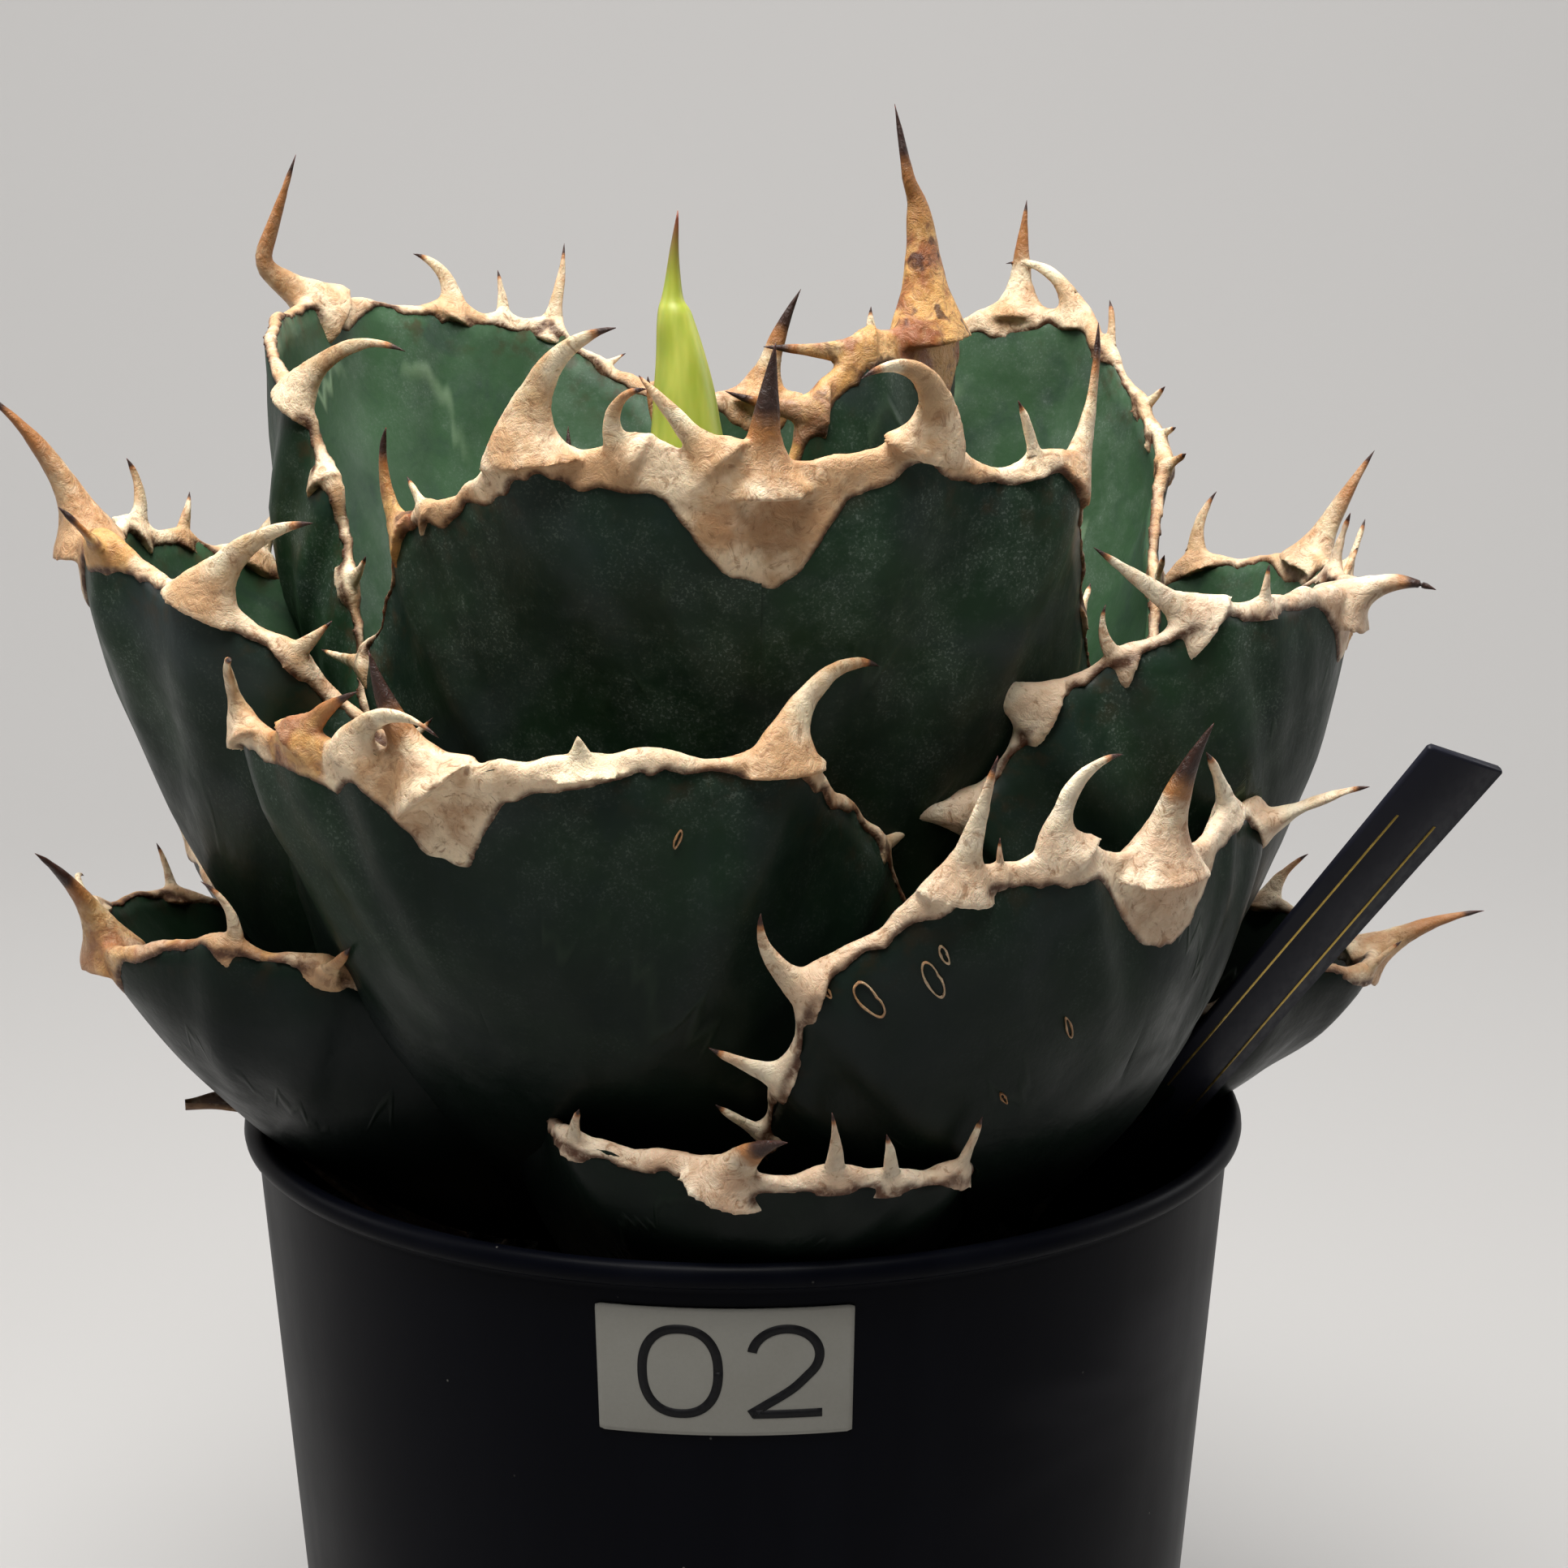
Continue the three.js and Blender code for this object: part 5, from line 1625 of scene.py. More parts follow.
LEAVES: tuple[LeafPlan, ...] = (
    LeafPlan("inner_right", 66, (6, 121), (24, 123), (22, 203), 62, 23, 0.56, 2, 1.9, -8, 0, 4, 2.4, 8,
             Spine(24, 7, -6, -3, 2, 5, kink=1.2, dark=0.3),
             (left(0.9, 10, 5, -46, 0, 10, 0.9), left(0.82, 9, 5, -35, 20, 0, 0.9),
              left(0.7, 5, 4, -10, 30, 0, 0.8), right(0.8, 4, 4, 0, 30, 0, 0.6),
              right(0.62, 4, 3.5, 0, 30, 0, 0.6)),
             rust=1.0, young=0.7, voxel=0.4),
    LeafPlan("inner_left", -70, (6, 120), (20, 121), (21, 180), 44, 20, 0.5, 2, 1.6, 0, 0, 4, 1.8, 6,
             Spine(11, 5, 0, -10, 4, 0),
             (left(0.8, 5, 4, 0, 40, 0), right(0.78, 5, 4, 0, 30, 0)), rust=0.6, young=0.9),
    LeafPlan("inner_back", 176, (7, 119), (26, 120), (32, 193), 58, 24, 0.56, 2.2, 1.6, 0, 0, 4, 2.2, 7,
             Spine(13, 6, -10, -20, 5, 0),
             (left(0.85, 7, 5, -10, 50, 0, 0.6), left(0.7, 5, 4, 0, 30, 0, 0.5),
              right(0.86, 6, 5, 0, 40, 5, 0.6), right(0.7, 5, 4, 0, 30, 0, 0.5)), rust=0.8, young=0.7),
    LeafPlan("front_upper", 1, (11, 115), (32, 112), (53, 191), 99, 42, 0.6, 3, 2.8, 3, 1, 5, 1.8, 11,
             Spine(12.5, 7.2, 1, 8, 4, 0, dark=0.6),
             (left(0.52, 12, 4, -30, 4, -6), left(0.66, 11, 5.5, -22, 100, 4, 0.95),
              left(0.71, 4, 4, -20, 10, 8), left(0.83, 16, 8, 2, 92, 8), left(0.91, 8, 5, -60, 150, -4),
              left(0.97, 9, 5, -43, 0, 12, -0.5), right(0.88, 15, 7, -18, 140, -12),
              right(0.77, 6, 4, 27, 26, 12), right(0.73, 15, 5.5, -12, 40, 9, 0.8),
              right(0.55, 4, 4, 0, 20, 0)), rust=0.22, voxel=0.36),
    LeafPlan("back_left", -133, (12, 114), (53, 117), (76, 203), 94, 38, 0.75, 3.6, 1.5, 11, -2, 5, 1.8, 6,
             Spine(25, 7, 56, -62, -6, 40, dark=0.13, bend=1.0),
             (left(0.69, 4, 3, -30, 0, 0), left(0.73, 3, 3, -30, 0, 0), left(0.78, 11, 4.5, 0, 15, 0),
              left(0.82, 6, 4, 7, 18, 0), left(0.87, 9, 6, -20, 110, 0), right(0.67, 19, 5.5, 16, -80, 14),
              right(0.59, 9, 5, 100, 80, 10), right(0.5, 5, 4, 0, 30, 0)), rust=0.45, young=0.5, voxel=0.42),
    LeafPlan("back_right", 144, (11, 114), (46, 111), (62, 203), 85, 35, 0.6, 2.5, 1.3, 9, 0, 5, 1.7, 6,
             Spine(13, 6, 2, -4, 5, 0, dark=0.1),
             (left(0.93, 12, 5, 30, 105, 12), left(0.88, 6, 4, 20, 40, 0), left(0.81, 4, 4, -18, 8, 0),
              left(0.77, 4, 4, -32, 3, 0), left(0.73, 5, 4, -29, 4, 0), left(0.6, 5, 4, -10, 20, 0),
              right(0.85, 6, 5, 0, 40, 0), right(0.7, 7, 5, -20, 40, 0)), rust=0.35, young=0.4, voxel=0.42),
    LeafPlan("mid_right", 114, (13, 109), (54, 106), (79, 172), 66, 28, 0.6, 2.6, 1.7, 0, 0, 5, 1.8, 7,
             Spine(15, 7, -11, -7, 2, -9, dark=0.14),
             (left(0.9, 6, 4, 10, 30, 0), left(0.8, 12, 5, -40, 160, 5), right(0.85, 9, 5, 0, 60, 0),
              right(0.7, 8, 5, -20, 60, 0)), rust=0.6, young=0.2, voxel=0.42),
    LeafPlan("left", -81, (13, 110), (53, 109), (75, 180), 77, 29, 0.7, 3, 1.6, 1, 0, 5.5, 1.8, 9,
             Spine(19, 8, 3, 11, 7, -40, dark=0.16),
             (right(0.9, 7, 5, -40, 60, -30, 0.9), right(0.77, 15, 7, 0, -63, 4),
              right(0.69, 5, 4, -18, 8, 0),
              right(0.56, 5, 4, 0, 20, 0), left(0.86, 8, 5, -40, 90, 5), left(0.8, 5, 4, -8, 12, 5),
              left(0.72, 12, 6, -4, -19, -22)), rust=0.68, young=0.15, voxel=0.38),
    LeafPlan("right", 81, (13, 109), (55, 108), (68, 173), 94, 40, 0.64, 2.8, 2.3, -14, 0, 5.5, 1.8, 9,
             Spine(9.5, 8, -6, 12, -26, -75, dark=0.4),
             (left(0.5, 12, 4.5, -24, 8, -12), left(0.63, 14, 6, -22, 30, -10), left(0.72, 6, 4, -50, 100, 8),
              left(0.79, 13, 6, -40, 0, 14), left(0.85, 4, 4, 0, 10, 0), right(0.85, 7, 5, 0, 40, 0),
              right(0.7, 10, 5, -20, 50, 0)), rust=0.4, young=0.15, pale=0.45, voxel=0.38),
    LeafPlan("back", -176, (13, 109), (54, 104), (74, 168), 80, 33, 0.6, 2.8, 1.8, 0, 0, 5.5, 1.9, 9,
             Spine(16, 8, 8, -20, 4, -20),
             (left(0.86, 11, 6, -10, 90, 5), left(0.72, 9, 5, -20, 50, 0), left(0.58, 5, 4, 0, 20, 0),
              right(0.85, 9, 6, 0, 80, 5), right(0.7, 10, 6, -15, 60, -50)), rust=0.35),
    LeafPlan("front_left", -27, (14, 106), (43, 99), (67, 162), 92, 35, 0.6, 3.4, 2.8, 4, 0, 5.5, 4.0, 9.5,
             Spine(13, 8, -38, 30, 12, 0, dark=0.6),
             (left(0.47, 5, 4, -20, 0, -8), left(0.66, 3, 4, 0, 0, 0), left(0.78, 11, 6, -18, 120, 0),
              left(0.86, 8, 5, 40, 36, 25, 0.9), left(0.93, 12, 5, 11, 120, 2),
              right(0.71, 16, 7, 24, -120, 8), right(0.88, 2.5, 6.5, 0, 0, 0), right(0.54, 5, 4, -31, 4, 0)),
             rust=0.35, voxel=0.36, scars=(Scar(Side.RIGHT, 0.786, 0.855, 0.7),)),
    LeafPlan("front_right", 45, (15, 104), (50, 98), (64, 151), 75, 50, 0.7, 3.5, 2.6, 0, -4, 5.5, 2, 11,
             Spine(15, 9, -1, 10, 8, -24, dark=0.5),
             (left(0.35, 6, 4, 16, 22, 0), left(0.48, 7, 4.5, -3, 14, 0), left(0.6, 9, 5.5, -18, 85, 2),
              left(0.76, 12, 6, 30, 2, 4), left(0.81, 3, 3, -5, 14, 5), left(0.88, 12, 6, -33, 130, 5),
              right(0.85, 9, 5, 30, 33, 12), right(0.74, 11, 6, 0, 70, -50)), rust=0.2, pale=0.4, voxel=0.36,
             scars=(Scar(Side.LEFT, 0.642, 0.9, 2.1), Scar(Side.LEFT, 0.707, 0.86, 1.8),
                    Scar(Side.LEFT, 0.727, 0.885, 0.8), Scar(Side.LEFT, 0.821, 0.557, 1.1),
                    Scar(Side.LEFT, 0.617, 0.95, 0.5), Scar(Side.LEFT, 0.702, 0.5, 0.8))),
    LeafPlan("low_left", -71, (17, 100), (51, 100), (75, 136), 64, 29, 0.6, 3.4, 2.4, 10, 0, 5.5, 1.8, 8,
             Spine(16, 7, 14, 20, 13, -30),
             (right(0.78, 8, 4, -45, 106, 4, 0.4), right(0.66, 7, 4, -12, 11, -35, 0.4),
              left(0.86, 8, 4, 7, -120, -8), left(0.7, 6, 4, 0, 30, 0)), rust=0.85, voxel=0.38),
    LeafPlan("low_right", 101, (17, 100), (48, 101), (80, 124), 60, 25, 0.58, 2.5, 1.7, -2, 0, 5, 1.8, 7,
             Spine(15, 7, -10, -6, 4, -30, dark=0.2),
             (left(0.63, 5, 4, 2, 16, 0), left(0.8, 5, 4, 0, 30, 0), right(0.8, 8, 5, -10, 50, 0),
              right(0.62, 6, 4, 0, 30, 0)), rust=0.5),
    LeafPlan("low_back", 160, (17, 100), (49, 100), (78, 133), 66, 29, 0.6, 2.8, 2, 4, 0, 5.5, 1.8, 8,
             Spine(15, 7, 10, -16, 6, -26),
             (left(0.82, 9, 5, -20, 80, 4), left(0.66, 6, 4, 0, 30, 0), right(0.82, 8, 5, 0, 60, 0),
              right(0.66, 6, 5, -20, 50, -40)), rust=0.5),
    LeafPlan("low_back_left", -124, (17, 100), (49, 100), (79, 135), 64, 28, 0.6, 2.8, 2, -4, 0, 5.5, 1.8, 8,
             Spine(15, 7, -8, 12, 6, -26),
             (left(0.82, 8, 5, 0, 70, 0), left(0.64, 6, 4, 0, 30, 0), right(0.82, 9, 5, -20, 70, 4),
              right(0.64, 7, 4, -10, 40, 0)), rust=0.5),
    LeafPlan("low_front", -3, (18, 99), (44, 91), (59, 120), 58, 28, 0.64, 3, 2.4, -7, 1, 5, 1.8, 4.5,
             Spine(10, 7, 16, 40, 2, -24),
             (left(0.78, 5, 4, 20, 20, 0), right(0.86, 8, 4, 0, 18, 0), right(0.78, 6, 4, 10, 22, 0),
              right(0.68, 6, 4, 1, 16, 0)), rust=0.45, young=0.3, pale=0.5, voxel=0.38),
)


@dataclass
class Rosette:
    """All the leaves, from the youngest to the oldest.

    Attributes:
        plans: their sizes.
        skin: the finish of the blades.
        horn: the finish of the cork.
    """

    plans: tuple[LeafPlan, ...] = LEAVES
    skin: LeafSkin = LeafSkin()
    horn: CorkHorn = CorkHorn()

    @staticmethod
    def _meet(a: Shape, b: Shape) -> bool:
        """Tells whether two shapes' boxes meet."""
        return bool(((a.points.min(0) < b.points.max(0)) & (b.points.min(0) < a.points.max(0))).all())

    def build(self) -> list[bpy.types.Object]:
        """Builds each leaf and cuts it clear of its neighbours.

        Returns:
            The blades, corks and scars.
        """
        leaves = [Leaf(plan) for plan in self.plans]
        spaces, hollows = [leaf.space() for leaf in leaves], [leaf.hollow() for leaf in leaves]
        pieces = []
        for index, leaf in enumerate(leaves):
            name = leaf.plan.name
            blade = leaf.blade()
            rooms = [room for room in hollows[:index] if self._meet(blade, room)]
            cork = leaf.cork(rooms)
            tools = [space for space in spaces[index + 1:] if self._meet(blade, space)]
            blade = BENCH.carved(blade, tools + rooms)
            pieces.append(stored(blade, f"blade_{name}", self.skin, "leaf_green", f"leaf_{name}"))
            pieces.append(stored(cork, f"cork_{name}", self.horn, "cork", f"margin_{name}"))
            scars = leaf.scars()
            if scars:
                pieces.append(stored(scars, f"scars_{name}", self.horn, "cork"))
        return pieces


# The other pieces


def circle(radius: float, height: float, sides: int) -> Array:
    """Lays a ring round the Z axis."""
    turn = 2 * math.pi * np.arange(sides) / sides
    return np.stack([radius * np.cos(turn), radius * np.sin(turn), np.full(sides, float(height))], -1)


def lathe(profile: list[tuple[float, float]], sides: int) -> Shape:
    """Turns a closed profile of radius and height round the Z axis.

    Args:
        profile: corners; the first and last lie on the axis.
        sides: facets round the axis.

    Returns:
        The closed solid.
    """
    shape = loft(np.stack([circle(radius, height, sides) for radius, height in profile[1:-1]]))
    shape.points[-2:, 2] = [profile[0][1], profile[-1][1]]
    return shape


def spline(points: list[tuple[float, ...]], count: int) -> Array:
    """Draws a smooth curve through a few points.

    Args:
        points: what it passes through.
        count: places along it.

    Returns:
        The places.
    """
    p = np.array(points, float)
    slope = np.gradient(p, axis=0)
    t = np.linspace(0, len(p) - 1 - 1e-9, count)
    i = t.astype(int)
    f = (t - i)[:, None]
    a, b = p[i], p[i + 1]
    return ((2 * f ** 3 - 3 * f ** 2 + 1) * a + (f ** 3 - 2 * f ** 2 + f) * slope[i]
            + (3 * f ** 2 - 2 * f ** 3) * b + (f ** 3 - f ** 2) * slope[i + 1])


@dataclass
class Pot:
    """A round tapered nursery pot with a rolled lip and drain holes.

    Attributes:
        height: from the underside to the top of the lip.
        rim: outer radius of the lip.
        body: outer radius just below the lip.
        taper: how much narrower it gets for each millimetre down.
        wall: thickness of the side.
        floor: thickness of the floor.
        lip: height of the lip.
        holes: number of drain holes.
        hole_radius: their radius.
        hole_circle: radius of the circle that they lie on.
        finish: its finish.
    """

    height: float = 110
    rim: float = 60
    body: float = 58.5
    taper: float = 0.075
    wall: float = 1.6
    floor: float = 2.2
    lip: float = 2.6
    holes: int = 8
    hole_radius: float = 3.5
    hole_circle: float = 36
    finish: PotPlastic = PotPlastic()

    def radius(self, height: float | Array) -> float | Array:
        """Returns the outer radius of the body."""
        return self.body - self.taper * (self.height - self.lip - height)

    def build(self) -> bpy.types.Object:
        """Turns the shell and drills its floor.

        Returns:
            The pot.
        """
        foot, top = self.height - self.lip, self.height
        inner_top, inner_foot = self.radius(foot) - self.wall, self.radius(self.floor) - self.wall
        # How far each point of the heel and of the lip lies inside the radius, and its height.
        heel = ((2, 0), (0.9, 0.12), (0.25, 0.5))
        lip_side = ((0.5, 0.05), (0.12, 0.4), (0, 0.95), (0.05, 1.5))
        lip_crown = ((0.3, 0.45), (0.75, 0.1), (1.2, 0), (1.7, 0.12), (2.1, 0.5), (2.6, 1.3))
        profile = [(0, 0), *((self.radius(0) - inset, z) for inset, z in heel), (self.radius(1.2), 1.2)]
        profile += [(self.radius(z), z) for z in np.linspace(4, foot - 1.4, 30)]
        profile += [(self.radius(foot - 0.9), foot - 0.9), (self.radius(foot) - 0.1, foot - 0.45),
                    (self.radius(foot) + 0.25, foot - 0.1)]
        profile += [(self.rim - inset, foot + rise) for inset, rise in lip_side]
        profile += [(self.rim - inset, top - drop) for inset, drop in lip_crown]
        profile.append((inner_top + 0.05, foot - 0.4))
        profile += [(self.radius(z) - self.wall, z) for z in np.linspace(foot - 3, self.floor + 1, 20)]
        profile += [(inner_foot - 0.4, self.floor + 0.25), (inner_foot - 1.2, self.floor), (0, self.floor)]
        shell = lathe(profile, 192)
        drills = []
        for i in range(self.holes):
            angle = 2 * math.pi * (i + 0.5) / self.holes
            middle = self.hole_circle * np.array([math.cos(angle), math.sin(angle), 0.0])
            drills.append(loft(np.stack([middle + circle(self.hole_radius, z, 28) for z in (-4.0, 6.0)])))
        drilled = BENCH.carved(shell, [Shape.joined(drills)])
        return stored(drilled, "pot_shell", self.finish, "pot_plastic", "pot")


@dataclass
class Stroke:
    """A line of even breadth on a flat sheet, bent round the pot with it."""

    points: Array
    breadth: float

    def offsets(self) -> tuple[Array, Array]:
        """Finds the two sides of the line.

        Returns:
            One side and the other.
        """
        heading = unit(np.gradient(self.points, axis=0))
        aside = np.stack([-heading[:, 1], heading[:, 0]], -1) * self.breadth / 2
        return self.points + aside, self.points - aside


@dataclass
class Sticker:
    """A small number sticker on the pot's front.

    Attributes:
        pot: what it is stuck on.
        first: degrees of its left edge from the front.
        last: degrees of its right edge.
        top: height of its upper edge.
        bottom: height of its lower edge.
        level: height at which its breadth is measured.
        figure_line: breadth of the figures' strokes.
        nought: middle and half sizes of the nought, from the left edge and the ground.
        bow: the same of the bow of the two.
        slope: places that its slope passes below the bow.
        base: both ends and the height of its foot.
        paper: the finish of the paper.
        ink: the finish of the figures.
    """

    pot: Pot
    first: float = -15.3
    last: float = 11.2
    top: float = 105
    bottom: float = 90.6
    level: float = 98
    figure_line: float = 1.0
    nought: tuple[float, ...] = (8.75, 97.85, 3.95, 4.8)
    bow: tuple[float, ...] = (19.65, 99.7, 3.5, 3.0)
    slope: tuple[tuple[float, float], ...] = ((20.4, 95.9), (17.6, 94.1), (15.95, 93.05))
    base: tuple[float, ...] = (16.3, 23.5, 93.05)
    paper: StickerPaper = StickerPaper()
    ink: Ink = Ink()

    def _on_pot(self, x: Array, z: Array, rise: Array) -> Array:
        """Wraps flat places round the pot.

        Args:
            x: millimetres from the sheet's left edge.
            z: heights.
            rise: how far they stand off the pot.

        Returns:
            The places.
        """
        radius = self.pot.radius(z) + rise
        angle = math.radians(self.first) + x / self.pot.radius(self.level)
        return np.stack([radius * np.sin(angle), -radius * np.cos(angle), z], -1)

    @property
    def breadth(self) -> float:
        """Its breadth along the pot."""
        return math.radians(self.last - self.first) * self.pot.radius(self.level)

    def _sheet(self) -> Shape:
        """Builds the paper as a thin plate with softly rounded corners.

        Returns:
            The closed plate.
        """
        count, inset = 50, 0.2
        x = np.linspace(0, self.breadth, count)
        near = np.minimum(x, self.breadth - x)
        drop = np.where(near < inset, inset - np.sqrt(np.clip(inset ** 2 - (inset - near) ** 2, 0, None)), 0)
        low, high = self.bottom + drop, self.top - drop
        places = [(low, 0.04), (low, 0.24)]
        places += [(low + (high - low) * share, 0.3) for share in (0.03, 0.5, 0.97)]
        places += [(high, 0.24), (high, 0.04)]
        return loft(np.stack([self._on_pot(x, z, np.full(count, rise)) for z, rise in places], 1))

    def _digits(self) -> list[Stroke]:
        """Draws the plain figures nought and two.

        Returns:
            Their strokes on the flat sheet.
        """
        turn = np.linspace(0, 2 * math.pi, 73)
        squareness = 0.86
        x, z, wide, high = self.nought
        nought = np.stack([x + wide * np.sign(np.cos(turn)) * np.abs(np.cos(turn)) ** squareness,
                           z + high * np.sign(np.sin(turn)) * np.abs(np.sin(turn)) ** squareness], -1)
        bow = np.radians(np.linspace(172, -38, 34))
        x, z, wide, high = self.bow
        head = np.stack([x + wide * np.cos(bow), z + high * np.sin(bow)], -1)
        slope = spline([tuple(head[-1]), *self.slope], 16)[1:]
        first, last, height = self.base
        foot = np.stack([np.linspace(first, last, 12), np.full(12, height)], -1)
        line = self.figure_line
        return [Stroke(nought, line), Stroke(np.vstack([head, slope]), line), Stroke(foot, 0.95 * line)]

    def build(self) -> list[bpy.types.Object]:
        """Builds the paper and its print.

        Returns:
            The paper and the figures.
        """
        paper = stored(self._sheet(), "sticker_paper", self.paper, "sticker", "number_sticker")
        printed = []
        for stroke in self._digits():
            one, two = stroke.offsets()
            rings = [self._on_pot(side[:, 0], side[:, 1], np.full(len(side), rise))
                     for side, rise in ((one, 0.25), (one, 0.34), (two, 0.34), (two, 0.25))]
            printed.append(loft(np.stack(rings, 1)))
        figures = stored(Shape.joined(printed), "sticker_figures", self.ink, "sticker")
        return [paper, figures]


@dataclass
class PlantLabel:
    """A flat tapered stake that leans right and forward, with two plain gold rules.

    Attributes:
        top: middle of its upper end.
        foot: middle of its lower end, where its point starts.
        aside: rough direction of its breadth.
        top_width: breadth at the top.
        foot_width: breadth at the foot.
        thickness: of the sheet.
        point: length and half breadth of its point.
        rule_span: where the rules start and end, as shares of its length.
        rule_aside: their place, as a share of half its breadth.
        rule_half: half their breadth.
        rule_rise: how far they stand out.
        plastic: the finish of the stake.
        gold: the finish of the rules.
    """

    top: tuple[float, float, float] = (78.3, -32, 157.2)
    foot: tuple[float, float, float] = (33.4, 3, 83)
    aside: tuple[float, float, float] = (0.96, 0.22, 0.0)
    top_width: float = 10.9
    foot_width: float = 7.6
    thickness: float = 1.0
    point: tuple[float, float] = (9.0, 1.2)
    rule_span: tuple[float, float] = (0.34, 0.9)
    rule_aside: float = 0.62
    rule_half: float = 0.17
    rule_rise: float = 0.04
    plastic: LabelPlastic = LabelPlastic()
    gold: Ink = Ink("gold_rule", (0.42, 0.29, 0.07), 0.8, 0.35)

    def __post_init__(self) -> None:
        """Finds the strip's directions."""
        self.top_place, self.foot_place = np.array(self.top, float), np.array(self.foot, float)
        self.heading = unit(self.top_place - self.foot_place)
        wide = np.array(self.aside)
        self.wide = unit(wide - self.heading * (wide @ self.heading))
        self.thin = np.cross(self.wide, self.heading)

    def _strip(self, stations: list[tuple[float, float]], low: float, high: float,
               aside: float = 0.0) -> Shape:
        """Skins a bevelled strip.

        Args:
            stations: distance from the foot and half breadth.
            low: its back, across the label.
            high: its front.
            aside: how far it lies from the label's middle line.

        Returns:
            The closed strip.
        """
        bevel = min(0.28, (high - low) / 3)
        rings = []
        for along, half in stations:
            centre = self.foot_place + self.heading * along + self.wide * aside
            cut = min(bevel, half / 2)
            ring = [(half - cut, low), (half, low + bevel), (half, high - bevel), (half - cut, high),
                    (-half + cut, high), (-half, high - bevel), (-half, low + bevel), (-half + cut, low)]
            rings.append([centre + self.wide * u + self.thin * v for u, v in ring])
        return loft(np.array(rings))

    def build(self) -> list[bpy.types.Object]:
        """Builds the stake and its rules.

        Returns:
            The stake and the rules.
        """
        length = float(np.linalg.norm(self.top_place - self.foot_place))
        half, foot, chamfer = self.thickness / 2, self.foot_width / 2, 0.3
        slope = (self.top_width - self.foot_width) / 2 / length
        stations = [(-self.point[0], self.point[1]), (0.0, foot)]
        stations += [(share * length, foot + slope * share * length) for share in (0.25, 0.5, 0.75)]
        stations += [(length - chamfer, self.top_width / 2), (length, self.top_width / 2 - chamfer)]
        stake = self._strip(stations, -half, half)
        first, last = (share * length for share in self.rule_span)
        rules = []
        for aside in (-self.rule_aside, self.rule_aside):
            place = aside * (foot + slope * first)
            for face in (-1, 1):
                near, far = sorted((face * (half - self.rule_rise), face * (half + self.rule_rise)))
                rules.append(self._strip([(first, self.rule_half), (last, self.rule_half)], near, far, place))
        return [stored(stake, "label_stake", self.plastic, "label_plastic", "plant_label"),
                stored(Shape.joined(rules), "label_rules", self.gold, "label_plastic")]


@dataclass
class Soil:
    """Potting mix: a rough bed with loose grains on top.

    Attributes:
        pot: what it lies in.
        top: height of its surface.
        grains: number of loose grains.
        seed: fixes their draw.
        finish: its finish.
    """

    pot: Pot
    top: float = 91.0
    grains: int = 1500
    seed: int = 7
    finish: SoilGrain = SoilGrain()

    def build(self) -> bpy.types.Object:
        """Builds the bed and scatters grains with a fixed draw.

        Returns:
            The soil.
        """
        edge = self.pot.radius(self.top) - self.pot.wall - 0.35
        foot = self.pot.radius(4) - self.pot.wall - 0.7
        profile = [(0, 2.7), (foot - 3, 2.7), (foot, 5.0), (edge, self.top - 0.7)]
        profile += [(radius, self.top) for radius in np.linspace(edge - 0.6, 1.0, 36)] + [(0, self.top)]
        bed = lathe(profile, 110)
        high = bed.points[:, 2] > self.top - 0.3
        bed.points[high, 2] += (1.0 * noise(bed.points, 5, 5) + 0.5 * noise(bed.points, 2, 6))[high]
        draw = np.random.default_rng(self.seed)
        corners = unit(np.array([(x, y, z) for x in (-1, 0, 1) for y in (-1, 0, 1) for z in (-1, 0, 1)
                                 if abs(x) + abs(y) + abs(z) in (1, 3)], float))
        shapes = [bed]
        hull = self._grain_faces(corners)
        for _ in range(self.grains):
            radius = math.sqrt(draw.uniform(0.1, 1)) * (edge - 1.6)
            turn = draw.uniform(0, 2 * math.pi)
            size = draw.uniform(0.45, 1.5)
            stretch = size * draw.uniform(0.6, 1.15, 3) * (1 + 0.25 * draw.uniform(-1, 1, (len(corners), 1)))
            place = np.array([radius * math.cos(turn), radius * math.sin(turn), self.top + 0.35 * size])
            shapes.append(Shape(corners * stretch + place, hull))
        return stored(Shape.joined(shapes), "soil_mix", self.finish, "soil", "soil")

    @staticmethod
    def _grain_faces(corners: Array) -> list[list[int]]:
        """Finds the triangles of a grain: each cube corner with its three axis points.

        Args:
            corners: the grain's corners.

        Returns:
            Three corner numbers for each triangle.
        """
        axis = [i for i, c in enumerate(corners) if np.count_nonzero(np.abs(c) > 1e-6) == 1]
        faces = []
        for i, c in enumerate(corners):
            if np.count_nonzero(np.abs(c) > 1e-6) == 3:
                near = [j for j in axis if corners[j] @ c > 0]
                for a, b in ((0, 1), (1, 2), (2, 0)):
                    face = [near[a], near[b], i]
                    p = corners[face]
                    if np.cross(p[1] - p[0], p[2] - p[0]) @ p.mean(0) < 0:
                        face = face[::-1]
                    faces.append(face)
        return faces


